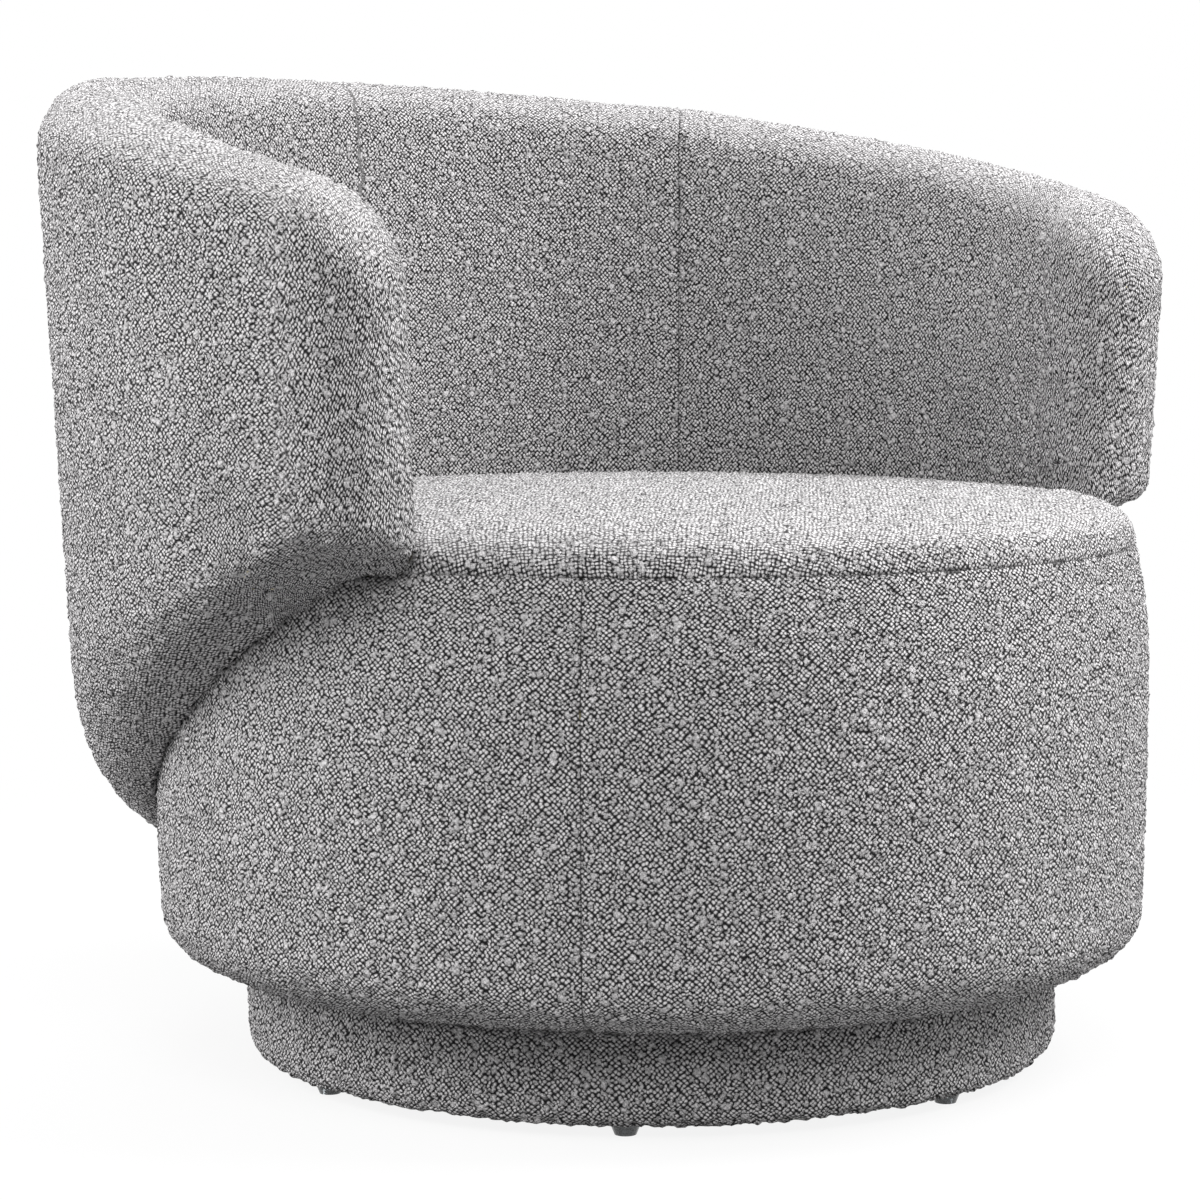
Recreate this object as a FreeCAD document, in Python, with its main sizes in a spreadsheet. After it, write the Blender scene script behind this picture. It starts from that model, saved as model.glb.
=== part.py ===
import FreeCAD, Part
import math
import os
import Sketcher
from FreeCAD import Placement, Rotation, Vector

# Swivel tub chair. The model is drawn round the swivel axis, with the front of the chair towards -Y,
# and every piece is then placed so that the middle of the chair's footprint lies at the origin.
# Angles round the back are measured from the rear (+Y), positive towards +X.

os.makedirs("parts", exist_ok=True)
doc = FreeCAD.newDocument("TubChair")

# Driving sizes, in millimetres and degrees
SIZES = {
    # general
    "fit_gap": 0.3,
    "hole_clearance": 0.1,
    "cover_thickness": 2.0,
    "cloth_thickness": 1.0,
    # glides
    "glide_count": 7,
    "glide_height": 9.6,
    "glide_top_radius": 11.8,
    "glide_foot_radius": 7.8,
    "glide_inset": 24.0,
    "glide_turn": 5.5,
    "nail_radius": 1.6,
    "nail_head_radius": 4.2,
    "nail_head_height": 1.6,
    "nail_length": 17.0,
    # plinth
    "plinth_radius": 312.0,
    "plinth_height": 68.4,
    "plinth_wadding_thickness": 5.4,
    "plinth_edge_radius": 6.0,
    "plinth_hem_width": 44.0,
    "plinth_bottom_board_thickness": 12.0,
    "plinth_top_board_thickness": 18.0,
    "plinth_wall_thickness": 6.0,
    "plinth_block_count": 6,
    "plinth_block_width": 60.0,
    "plinth_block_depth": 34.0,
    # swivel bearing
    "swivel_height": 15.0,
    "swivel_plate_thickness": 2.5,
    "swivel_plate_radius": 125.0,
    "race_radius": 75.0,
    "race_width": 22.0,
    "race_rise": 2.5,
    "race_clearance": 0.05,
    "ball_radius": 4.0,
    "ball_count": 18,
    "cage_thickness": 1.5,
    "cage_width": 17.0,
    "rivet_radius": 8.0,
    "rivet_head_radius": 14.0,
    "rivet_head_height": 3.0,
    "board_hole_radius": 32.0,
    "plate_screw_count": 6,
    "plate_screw_circle": 108.0,
    "screw_radius": 2.4,
    "screw_head_radius": 4.6,
    "screw_head_top_radius": 3.45,
    "screw_head_height": 2.2,
    "screw_length": 14.0,
    "bolt_radius": 4.0,
    "bolt_head_radius": 6.5,
    "bolt_head_height": 4.0,
    "nut_height": 5.0,
    # drum
    "drum_radius": 380.0,
    "drum_foot_draw": 2.5,
    "drum_bottom_height": 82.0,
    "drum_foot_height": 114.0,
    "drum_foot_inset": 13.5,
    "drum_foot_rise": 11.0,
    "drum_foot_tilt": 60.0,
    "drum_foot_corner_radius": 28.0,
    "drum_underside_radius": 115.0,
    "drum_hem_width": 80.0,
    "drum_shoulder_drop": 96.0,
    "drum_seam_draw": 11.0,
    "drum_seam_height": 396.0,
    "drum_seam_angle": 49.5,
    "side_foam_thickness": 34.0,
    "liner_thickness": 3.0,
    "seat_board_thickness": 18.0,
    "seat_post_count": 14,
    "seat_post_depth": 32.0,
    "seat_post_width": 40.0,
    "seat_ring_drop": 33.0,
    "seat_ring_width": 52.0,
    "webbing_thickness": 1.5,
    "webbing_width": 58.0,
    "webbing_pitch": 96.0,
    "webbing_strap_count": 6,
    "dust_cloth_clearance": 2.0,
    "crown_rise": 41.0,
    "crown_shoulder_inset": 23.0,
    "crown_shoulder_rise": 30.0,
    "crown_shoulder_radius": 25.0,
    # back and arms
    "back_overhang": 79.0,
    "back_height": 765.0,
    "arm_drop": 122.5,
    "arm_drop_power": 2.04,
    "arm_angle": 114.0,
    "outer_lean": 2.8,
    "inner_lean": 1.7,
    "back_inner_draw": 12.2,
    "back_edge_radius": 36.0,
    "arm_nose_radius": 43.0,
    "arm_corner_radius": 66.0,
    "crease_drop": 62.0,
    "crease_swing": 233.0,
    "arm_lift": 4.0,
    "crease_blend": 4.0,
    "underside_slope": 20.0,
    "tail_edge_radius": 76.0,
    "arm_edge_radius": 22.0,
    "edge_change_start": 62.0,
    "edge_change_end": 108.0,
    "back_seam_angle": 46.0,
    "back_foam_thickness": 38.0,
    "back_top_foam": 32.0,
    "back_wadding_thickness": 9.4,
    "back_board_thickness": 3.0,
    "back_rail_height": 20.0,
    "back_rib_thickness": 18.0,
    "rib_reach": 4,
    "bolted_rib_reach": 2,
    "tail_lining": 3.4,
    "tail_angle": 88.0,
    "board_ramp": 8.0,
    "deck_blend": 8.0,
    "foam_room_drop": 12.0,
    "shell_base_rise": 18.0,
    "rib_foot_height": 20.0,
    "bottom_rail_width": 18.0,
    "bottom_rail_rise": 20.0,
    "lag_bolt_radius": 4.0,
    "lag_bolt_head_radius": 6.5,
    "lag_bolt_head_height": 5.3,
    "lag_bolt_length": 104.0,
    "upper_bolt_drop": 71.0,
    "lower_bolt_drop": 134.0,
}

sheet = doc.addObject("Spreadsheet::Sheet", "Sizes")
for row, (alias, value) in enumerate(SIZES.items(), start=1):
    sheet.set(f"A{row}", alias)
    sheet.set(f"B{row}", str(value))
    sheet.setAlias(f"B{row}", alias)
doc.recompute()


class Size:
    """A length that carries its spreadsheet expression along with its value."""

    def __init__(self, text, value):
        self.text = text
        self.value = value

    def join(self, sign, other, value):
        return Size(f"({self.text} {sign} {as_size(other).text})", value)

    def __add__(self, other):
        return self.join("+", other, self.value + as_size(other).value)

    def __sub__(self, other):
        return self.join("-", other, self.value - as_size(other).value)

    def __mul__(self, other):
        return self.join("*", other, self.value * as_size(other).value)

    def __truediv__(self, other):
        return self.join("/", other, self.value / as_size(other).value)

    def __neg__(self):
        return Size(f"(0 - {self.text})", -self.value)


def as_size(number):
    return number if isinstance(number, Size) else Size(str(number), float(number))


def size(alias):
    return Size(f"Sizes.{alias}", float(sheet.get(alias)))


def value(alias):
    return float(sheet.get(alias))


# Heights and radii that several pieces share
gap = size("fit_gap")
cover = size("cover_thickness")
drum_foot_radius = size("drum_radius") - size("drum_foot_draw")
drum_hem_radius = size("drum_radius") - size("drum_hem_width")
drum_seam_radius = size("drum_radius") - size("drum_seam_draw")
drum_shoulder_height = size("drum_seam_height") - size("drum_shoulder_drop")
crown_height = size("drum_seam_height") + size("crown_rise")
back_reach = size("drum_radius") + size("back_overhang")
back_inner_radius = drum_seam_radius - size("back_inner_draw")
crease_height = size("drum_seam_height") - size("crease_drop")
arm_underside_height = size("drum_seam_height") + size("arm_lift")
upper_bolt_height = size("drum_seam_height") - size("upper_bolt_drop")
lower_bolt_height = size("drum_seam_height") - size("lower_bolt_drop")
glide_circle_radius = size("plinth_radius") - size("glide_inset")
plinth_bottom = size("glide_height")
plinth_top = plinth_bottom + size("plinth_height")
plinth_core_radius = size("plinth_radius") - cover - gap * 2 - size("plinth_wadding_thickness")
bottom_board_base = plinth_bottom + cover
bottom_board_top = bottom_board_base + size("plinth_bottom_board_thickness")
top_board_top = plinth_top - cover
top_board_base = top_board_top - size("plinth_top_board_thickness")
swivel_base = top_board_top
swivel_top = swivel_base + size("swivel_height")
ball_height = swivel_base + size("swivel_height") / 2
seat_board_base = swivel_top
seat_board_top = seat_board_base + size("seat_board_thickness")
side_foam_inner = size("drum_radius") - cover - gap - size("side_foam_thickness")
seat_core_radius = side_foam_inner - gap * 2 - size("liner_thickness")
ring_top = size("drum_seam_height") - size("seat_ring_drop")
ring_base = ring_top - size("seat_board_thickness")
webbing_top = ring_top + size("webbing_thickness") * 2
rib_pitch = 360.0 / value("seat_post_count")
axis_shift = (size("drum_radius") - back_reach) / 2


# Where a loft's sections stand near its ends, as shares of the usual spacing, and down a round arm front
END_STATIONS = (0.0, 0.25, 0.6)
ARM_FRONT_STATIONS = (0.0, 0.3, 0.55, 0.75, 0.9, 0.985)
# The most of the back's thickness that one rounded edge may take
MOST_EDGE_SHARE = 0.46
# A draw smaller than this counts as none, in millimetres
LEAST_DRAW = 1e-6


# Tools for drawing
def origin_plane(body, role):
    return [item for item in body.Origin.OriginFeatures if item.Role == role][0]


def new_body(label):
    body = doc.addObject("PartDesign::Body", label)
    body.Label = label
    body.setExpression("Placement.Base.y", axis_shift.text)
    return body


def arc_middle(start, end, radius, side):
    """Centre of an arc of less than half a turn; side is +1 when it bulges to the left of its way."""
    along = end - start
    half = along.Length / 2
    rise = math.sqrt(max(radius**2 - half**2, 0.0))
    left = Vector(-along.y, along.x, 0).normalize() * side
    return start + along / 2 - left * rise, left


def arc_between(start, end, radius, side):
    centre, left = arc_middle(start, end, radius, side)
    return Part.Arc(start, centre + left * radius, end)


def counterclockwise_arc(start, end, radius, side):
    centre, left = arc_middle(start, end, radius, side)
    first, last = (end, start) if side > 0 else (start, end)
    from_angle = math.atan2(first.y - centre.y, first.x - centre.x)
    to_angle = math.atan2(last.y - centre.y, last.x - centre.x)
    if to_angle < from_angle:
        to_angle += 2 * math.pi
    return Part.ArcOfCircle(Part.Circle(centre, Vector(0, 0, 1), radius), from_angle, to_angle)


def draw_profile(body, plane, name, points, arcs=None, height=None):
    """Closed outline: points are (across, up) sizes; arcs maps a side's number to (radius, bulge side)."""
    arcs = arcs or {}
    sketch = body.newObject("Sketcher::SketchObject", name)
    sketch.AttachmentSupport = (origin_plane(body, plane), [""])
    sketch.MapMode = "FlatFace"
    if height is not None:
        sketch.setExpression("AttachmentOffset.Base.z", as_size(height).text)
    corners = [(as_size(across), as_size(up)) for across, up in points]
    spots = [Vector(across.value, up.value, 0) for across, up in corners]
    starts = []
    for side, start in enumerate(spots):
        end = spots[(side + 1) % len(spots)]
        if side in arcs:
            radius, bulge = arcs[side]
            sketch.addGeometry(counterclockwise_arc(start, end, as_size(radius).value, bulge), False)
            starts.append(2 if bulge > 0 else 1)
            rule = sketch.addConstraint(Sketcher.Constraint("Radius", side, as_size(radius).value))
            sketch.setExpression(f"Constraints[{rule}]", as_size(radius).text)
        else:
            sketch.addGeometry(Part.LineSegment(start, end), False)
            starts.append(1)
    for side, (across, up) in enumerate(corners):
        before = side - 1 if side else len(spots) - 1
        sketch.addConstraint(
            Sketcher.Constraint("Coincident", before, 3 - starts[before], side, starts[side])
        )
        for kind, length in (("DistanceX", across), ("DistanceY", up)):
            rule = sketch.addConstraint(Sketcher.Constraint(kind, -1, 1, side, starts[side], length.value))
            sketch.setExpression(f"Constraints[{rule}]", length.text)
    return sketch


def draw_circles(body, name, circles, height):
    """Circles on the level plane at a height; circles are (across, up, radius) sizes."""
    sketch = body.newObject("Sketcher::SketchObject", name)
    sketch.AttachmentSupport = (origin_plane(body, "XY_Plane"), [""])
    sketch.MapMode = "FlatFace"
    sketch.setExpression("AttachmentOffset.Base.z", as_size(height).text)
    for number, circle in enumerate(circles):
        across, up, radius = (as_size(part) for part in circle)
        middle = Vector(across.value, up.value, 0)
        sketch.addGeometry(Part.Circle(middle, Vector(0, 0, 1), radius.value), False)
        rule = sketch.addConstraint(Sketcher.Constraint("Radius", number, radius.value))
        sketch.setExpression(f"Constraints[{rule}]", radius.text)
        for kind, length in (("DistanceX", across), ("DistanceY", up)):
            rule = sketch.addConstraint(Sketcher.Constraint(kind, -1, 1, number, 3, length.value))
            sketch.setExpression(f"Constraints[{rule}]", length.text)
    return sketch


def turn(body, name, points, arcs=None):
    """Revolves an outline of (radius, height) points all the way round the swivel axis."""
    sketch = draw_profile(body, "XZ_Plane", f"{name}_outline", points, arcs)
    feature = body.newObject("PartDesign::Revolution", name)
    feature.Profile = sketch
    feature.ReferenceAxis = (sketch, ["V_Axis"])
    feature.Angle = 360
    return feature


def turned_piece(label, points, arcs=None):
    body = new_body(label)
    turn(body, f"{label}_turned", points, arcs)
    return body


def raise_outline(body, name, sketch, length):
    feature = body.newObject("PartDesign::Pad", name)
    feature.Profile = sketch
    feature.setExpression("Length", as_size(length).text)
    return feature


def sink_outline(body, name, sketch, length):
    """Cuts upwards from the sketch's height, through the given length."""
    feature = body.newObject("PartDesign::Pocket", name)
    feature.Profile = sketch
    feature.setExpression("Length", as_size(length).text)
    feature.Reversed = True
    return feature


def repeat_round(body, name, features, count):
    """Repeats features evenly round the swivel axis."""
    pattern = body.newObject("PartDesign::PolarPattern", name)
    pattern.Originals = features
    pattern.Axis = (origin_plane(body, "Z_Axis"), [""])
    pattern.Angle = 360
    pattern.setExpression("Occurrences", as_size(count).text)
    body.Tip = pattern
    return pattern


def place_round(label, tool, count, first_turn=0.0, step=None):
    """A group of equal solids set round the swivel axis; each is a turned copy of one tool's shape."""
    step = 360.0 / count if step is None else step
    copies = []
    for number in range(count):
        copy = tool.copy()
        copy.rotate(Vector(0, 0, 0), Vector(0, 0, 1), first_turn + number * step)
        copies.append(copy)
    return free_piece(label, Part.makeCompound(copies))


def free_piece(label, shape):
    feature = doc.addObject("Part::Feature", label)
    feature.Label = label
    feature.Shape = shape
    feature.Placement = Placement(Vector(0, axis_shift.value, 0), Rotation())
    return feature


def turned_shape(points, arcs=None, angle=360.0):
    """Solid of revolution round the swivel axis from plain (radius, height) numbers."""
    arcs = arcs or {}
    spots = [Vector(across, up, 0) for across, up in points]
    edges = []
    for side, start in enumerate(spots):
        end = spots[(side + 1) % len(spots)]
        curve = arc_between(start, end, *arcs[side]) if side in arcs else Part.LineSegment(start, end)
        edges.append(curve.toShape())
    outline = Part.Face(Part.Wire(edges))
    outline.rotate(Vector(0, 0, 0), Vector(1, 0, 0), 90)
    return outline.revolve(Vector(0, 0, 0), Vector(0, 0, 1), angle)


# Standing base
def make_glides():
    """Conical button glides: a flat foot below, a wider top against the plinth, and a nail through it."""
    foot = Part.makeCone(value("glide_foot_radius"), value("glide_top_radius"), value("glide_height"))
    nail_hole = Part.makeCylinder(value("nail_radius") + value("hole_clearance"), value("glide_height"))
    head_hole = Part.makeCylinder(value("nail_head_radius") + value("fit_gap"), value("glide_height") / 2)
    glide = foot.cut(nail_hole).cut(head_hole)
    head_base = value("glide_height") / 2 - value("nail_head_height")
    head = Part.makeCylinder(value("nail_head_radius"), value("nail_head_height"), Vector(0, 0, head_base))
    shank = Part.makeCylinder(value("nail_radius"), value("nail_length"), Vector(0, 0, head_base))
    nail = head.fuse(shank).removeSplitter()
    offset = Vector(0, -glide_circle_radius.value, 0)
    glide.translate(offset)
    nail.translate(offset)
    count = int(value("glide_count"))
    place_round("glides", glide, count, value("glide_turn"))
    place_round("glide_nails", nail, count, value("glide_turn"))


def nail_tunnels():
    """Clearance holes for the glide nails, through the plinth's hem and its bottom board."""
    hole = Part.makeCylinder(
        value("nail_radius") + value("hole_clearance"),
        value("nail_length") + value("glide_height"),
        Vector(0, -glide_circle_radius.value, 0),
    )
    count = int(value("glide_count"))
    holes = []
    for number in range(count):
        copy = hole.copy()
        copy.rotate(Vector(0, 0, 0), Vector(0, 0, 1), value("glide_turn") + number * 360.0 / count)
        holes.append(copy)
    return Part.makeCompound(holes)


def sink_ring_of_holes(body, name, count, circle, radius, base, depth):
    """A ring of equal holes that run upwards from a height."""
    doc.recompute()
    sketch = draw_circles(body, f"{name}_circle", [(circle, 0, radius)], base)
    hole = sink_outline(body, f"{name}_hole", sketch, depth)
    return repeat_round(body, f"{name}_ring", [hole], count)


def make_plinth():
    dust_radius = size("plinth_radius") - size("plinth_hem_width") - gap
    cloth_base = bottom_board_base - size("cloth_thickness")
    turned_piece("plinth_dust_cloth", [
        (0, cloth_base), (dust_radius, cloth_base),
        (dust_radius, bottom_board_base), (0, bottom_board_base),
    ])

    board = turned_piece("plinth_bottom_board", [
        (0, bottom_board_base), (plinth_core_radius, bottom_board_base),
        (plinth_core_radius, bottom_board_top), (0, bottom_board_top),
    ])
    doc.recompute()
    sketch = draw_circles(board, "glide_nail_circle", [nail_spot()], bottom_board_base)
    hole = sink_outline(board, "glide_nail_hole", sketch, size("plinth_bottom_board_thickness"))
    repeat_round(board, "glide_nail_holes", [hole], size("glide_count"))

    blocks = new_body("plinth_blocks")
    outer = plinth_core_radius - size("plinth_wall_thickness") - gap
    inner = outer - size("plinth_block_depth")
    half = size("plinth_block_width") / 2
    inside = Size(f"sqrt({outer.text} ^ 2 - {half.text} ^ 2)", math.sqrt(outer.value**2 - half.value**2))
    sketch = draw_profile(blocks, "XY_Plane", "block_outline", [
        (inner, -half), (inside, -half), (inside, half), (inner, half),
    ], {1: (outer, -1)}, bottom_board_top)
    block = raise_outline(blocks, "block", sketch, top_board_base - bottom_board_top)
    repeat_round(blocks, "block_ring", [block], size("plinth_block_count"))

    wall_inner = plinth_core_radius - size("plinth_wall_thickness")
    turned_piece("plinth_wall", [
        (wall_inner, bottom_board_top), (plinth_core_radius, bottom_board_top),
        (plinth_core_radius, top_board_base), (wall_inner, top_board_base),
    ])

    top = turned_piece("plinth_top_board", [
        (size("board_hole_radius"), top_board_base), (plinth_core_radius, top_board_base),
        (plinth_core_radius, top_board_top), (size("board_hole_radius"), top_board_top),
    ])
    pilot_depth = size("screw_length")
    sink_ring_of_holes(
        top, "pilot", size("plate_screw_count"), size("plate_screw_circle"),
        size("screw_radius") + size("hole_clearance"), top_board_top - pilot_depth, pilot_depth,
    )

    wadding_inner = plinth_core_radius + gap
    wadding_outer = wadding_inner + size("plinth_wadding_thickness")
    edge = size("plinth_edge_radius")
    turned_piece("plinth_wadding", [
        (wadding_inner, bottom_board_base), (wadding_outer, bottom_board_base + edge - cover),
        (wadding_outer, top_board_top - edge + cover), (wadding_inner, top_board_top),
    ], {0: (edge, -1), 2: (edge, -1)})


def nail_spot():
    """The glide circle's first nail, as (across, up, radius) sizes."""
    turn_angle = size("glide_turn")
    circle = glide_circle_radius
    across = Size(
        f"({circle.text} * sin({turn_angle.text} * 1 deg))",
        circle.value * math.sin(math.radians(turn_angle.value)),
    )
    up = Size(
        f"(0 - {circle.text} * cos({turn_angle.text} * 1 deg))",
        -circle.value * math.cos(math.radians(turn_angle.value)),
    )
    return across, up, size("nail_radius") + size("hole_clearance")


def make_plinth_cover():
    """A boucle sleeve: rounded at both edges, hemmed under the bottom board and over the top board."""
    outer = value("plinth_radius")
    thick = value("cover_thickness")
    edge = value("plinth_edge_radius")
    hem = outer - value("plinth_hem_width")
    bottom = plinth_bottom.value
    top = plinth_top.value
    sleeve = turned_shape([
        (hem, bottom), (outer - edge, bottom), (outer, bottom + edge),
        (outer, top - edge), (outer - edge, top), (hem, top),
        (hem, top - thick), (outer - edge, top - thick), (outer - thick, top - edge),
        (outer - thick, bottom + edge), (outer - edge, bottom + thick), (hem, bottom + thick),
    ], {
        1: (edge, -1), 3: (edge, -1),
        7: (edge - thick, 1), 9: (edge - thick, 1),
    })
    free_piece("plinth_cover", sleeve.cut(nail_tunnels()))


# Ball bearing between the base and the seat
def make_swivel():
    thick = size("swivel_plate_thickness")
    race_inner = size("race_radius") - size("race_width") / 2
    race_outer = size("race_radius") + size("race_width") / 2
    groove = size("ball_radius") + size("race_clearance")
    ridge = size("swivel_height") / 2 - thick - size("race_rise")
    half_mouth = Size(
        f"sqrt({groove.text} ^ 2 - {ridge.text} ^ 2)", math.sqrt(groove.value**2 - ridge.value**2)
    )
    shaft = size("rivet_radius")
    plates = (
        ("swivel_lower_plate", swivel_base, 1, shaft + size("hole_clearance") / 2),
        ("swivel_upper_plate", swivel_top, -1, shaft + size("hole_clearance") / 2),
    )
    for label, seat, way, bore in plates:
        face = seat + thick * way
        crest = seat + (thick + size("race_rise")) * way
        plate = turned_piece(label, [
            (bore, seat), (size("swivel_plate_radius"), seat), (size("swivel_plate_radius"), face),
            (race_outer, face), (race_outer, crest),
            (size("race_radius") + half_mouth, crest), (size("race_radius") - half_mouth, crest),
            (race_inner, crest), (race_inner, face), (bore, face),
        ], {5: (groove, way)})
        low = seat if way > 0 else face
        radius = size("screw_radius") if way > 0 else size("bolt_radius")
        sink_ring_of_holes(
            plate, f"{label}_fixing", size("plate_screw_count"), size("plate_screw_circle"),
            radius + size("hole_clearance"), low, thick,
        )

    cage_inner = size("race_radius") - size("cage_width") / 2
    cage_outer = size("race_radius") + size("cage_width") / 2
    cage_base = ball_height - size("cage_thickness") / 2
    cage = turned_piece("ball_cage", [
        (cage_inner, cage_base), (cage_outer, cage_base),
        (cage_outer, cage_base + size("cage_thickness")), (cage_inner, cage_base + size("cage_thickness")),
    ])
    sink_ring_of_holes(
        cage, "ball_pocket", size("ball_count"), size("race_radius"),
        size("ball_radius") + size("hole_clearance"), cage_base, size("cage_thickness"),
    )
    ball = Part.makeSphere(value("ball_radius"), Vector(value("race_radius"), 0, ball_height.value))
    place_round("bearing_balls", ball, int(value("ball_count")))

    head = size("rivet_head_radius")
    head_height = size("rivet_head_height")
    turned_piece("swivel_rivet", [
        (0, swivel_base - head_height), (head, swivel_base - head_height),
        (head, swivel_base), (shaft, swivel_base),
        (shaft, swivel_top + gap), (head, swivel_top + gap),
        (head, swivel_top + gap + head_height), (0, swivel_top + gap + head_height),
    ])


def make_plate_fixings():
    """Wood screws hold the lower plate; bolts and nuts hold the upper plate to the seat's board."""
    circle = Vector(value("plate_screw_circle"), 0, 0)
    count = int(value("plate_screw_count"))
    thick = value("swivel_plate_thickness")
    face = swivel_base.value + thick
    head = Part.makeCone(
        value("screw_head_radius"), value("screw_head_top_radius"), value("screw_head_height"),
        circle + Vector(0, 0, face),
    )
    shank = Part.makeCylinder(
        value("screw_radius"), value("screw_length"), circle + Vector(0, 0, face - value("screw_length"))
    )
    place_round("lower_plate_screws", head.fuse(shank).removeSplitter(), count)

    under = swivel_top.value - thick
    board = value("seat_board_thickness")
    stem_length = value("bolt_head_height") + thick + board + value("nut_height")
    hexagon = hex_prism(value("bolt_head_radius"), value("bolt_head_height"))
    hexagon.translate(circle + Vector(0, 0, under - value("bolt_head_height")))
    stem = Part.makeCylinder(
        value("bolt_radius"), stem_length, circle + Vector(0, 0, under - value("bolt_head_height"))
    )
    place_round("upper_plate_bolts", hexagon.fuse(stem).removeSplitter(), count)

    nut = hex_prism(value("bolt_head_radius"), value("nut_height"))
    nut = nut.cut(Part.makeCylinder(value("bolt_radius") + value("hole_clearance"), value("nut_height")))
    nut.translate(circle + Vector(0, 0, seat_board_top.value))
    place_round("upper_plate_nuts", nut, count)


def hex_prism(corner_radius, height):
    turns = [math.radians(60 * corner) for corner in range(6)]
    corners = [Vector(corner_radius * math.cos(turn), corner_radius * math.sin(turn), 0) for turn in turns]
    return Part.Face(Part.makePolygon(corners + corners[:1])).extrude(Vector(0, 0, height))


# Drum
def make_seat_frame():
    board = turned_piece("seat_base_board", [
        (size("board_hole_radius"), seat_board_base), (seat_core_radius, seat_board_base),
        (seat_core_radius, seat_board_top), (size("board_hole_radius"), seat_board_top),
    ])
    sink_ring_of_holes(
        board, "bolt", size("plate_screw_count"), size("plate_screw_circle"),
        size("bolt_radius") + size("hole_clearance"), seat_board_base, size("seat_board_thickness"),
    )
    cloth_outer = drum_hem_radius - gap
    cloth_inner = size("swivel_plate_radius") + size("dust_cloth_clearance")
    turned_piece("seat_dust_cloth", [
        (cloth_inner, seat_board_base - size("cloth_thickness")),
        (cloth_outer, seat_board_base - size("cloth_thickness")),
        (cloth_outer, seat_board_base), (cloth_inner, seat_board_base),
    ])
    turned_piece("seat_top_ring", [
        (seat_core_radius - size("seat_ring_width"), ring_base), (seat_core_radius, ring_base),
        (seat_core_radius, ring_top), (seat_core_radius - size("seat_ring_width"), ring_top),
    ])

    outer = seat_core_radius.value
    depth = value("seat_post_depth")
    width = value("seat_post_width")
    tall = ring_base.value - seat_board_top.value
    post = Part.makeBox(width, depth + width, tall, Vector(-width / 2, outer - depth, seat_board_top.value))
    post = post.common(Part.makeCylinder(outer, tall, Vector(0, 0, seat_board_top.value)))
    drilled = post.cut(bolt_tunnels())
    count = int(value("seat_post_count"))
    posts = []
    for number in range(count):
        from_rear = min(number, count - number)
        copy = (drilled if from_rear <= value("bolted_rib_reach") else post).copy()
        copy.rotate(Vector(0, 0, 0), Vector(0, 0, 1), number * rib_pitch)
        posts.append(copy)
    free_piece("seat_posts", Part.makeCompound(posts))


def bolt_tunnels():
    """The two lag bolts' clearance holes along the rear direction."""
    holes = [
        Part.makeCylinder(
            value("lag_bolt_radius") + value("hole_clearance"), back_reach.value,
            Vector(0, 0, height), Vector(0, 1, 0),
        )
        for height in (lower_bolt_height.value, upper_bolt_height.value)
    ]
    return Part.makeCompound(holes)


def bolt_tunnels_round():
    """The clearance holes at every bolted rib."""
    reach = int(value("bolted_rib_reach"))
    tunnels = []
    for number in range(-reach, reach + 1):
        copy = bolt_tunnels()
        copy.rotate(Vector(0, 0, 0), Vector(0, 0, 1), -number * rib_pitch)
        tunnels.append(copy)
    return Part.makeCompound(tunnels)


def make_webbing():
    """Straps laid across the drum's ring, in two crossing layers, each strap as long as its own chord."""
    ring_middle = seat_core_radius.value - value("seat_ring_width") / 2
    thick = value("webbing_thickness")
    width = value("webbing_width")
    count = int(value("webbing_strap_count"))
    for label, layer, turned in (("webbing_lengthwise", 0, 90), ("webbing_crosswise", 1, 0)):
        straps = []
        for number in range(count):
            offset = (number - (count - 1) / 2) * value("webbing_pitch")
            half = math.sqrt(ring_middle**2 - offset**2)
            strap = Part.makeBox(
                2 * half, width, thick,
                Vector(-half, offset - width / 2, ring_top.value + layer * thick),
            )
            strap.rotate(Vector(0, 0, 0), Vector(0, 0, 1), turned)
            straps.append(strap)
        free_piece(label, Part.makeCompound(straps))


def tangent_radius(run, rise):
    """Radius of an arc that starts along its run and climbs by the rise."""
    return (run * run + rise * rise) / (rise * 2)


def drum_outline(inset):
    """The drum's side from the hem under its foot up to the seam, drawn in by an inset: points and arcs."""
    inset = as_size(inset)
    tilt = math.radians(value("drum_foot_tilt"))
    foot = drum_foot_radius - inset
    widest = size("drum_radius") - inset
    seam = drum_seam_radius - inset
    shoulder = drum_shoulder_height
    points = [
        (drum_hem_radius, size("drum_bottom_height") + inset),
        (drum_foot_radius - size("drum_foot_inset") - inset * math.cos(tilt),
         size("drum_bottom_height") + size("drum_foot_rise") + inset * math.sin(tilt)),
        (foot, size("drum_foot_height")),
        (widest, shoulder),
        (seam, size("drum_seam_height")),
    ]
    radii = [
        size("drum_underside_radius") - inset,
        size("drum_foot_corner_radius") - inset,
        tangent_radius(shoulder - size("drum_foot_height"), widest - foot),
        shoulder_arc() - inset,
    ]
    return points, radii


def shoulder_arc():
    rise = size("drum_seam_height") - drum_shoulder_height
    return tangent_radius(rise, size("drum_radius") - drum_seam_radius)


def drum_side_point(height, inset):
    """A point of the drum's upper side, between its widest height and the seam."""
    arc = shoulder_arc()
    up = height - drum_shoulder_height
    fall = arc.value - math.sqrt(arc.value**2 - up.value**2)
    text = f"({arc.text} - sqrt({arc.text} * {arc.text} - {up.text} * {up.text}))"
    return size("drum_radius") - inset - Size(text, fall), height


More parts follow.
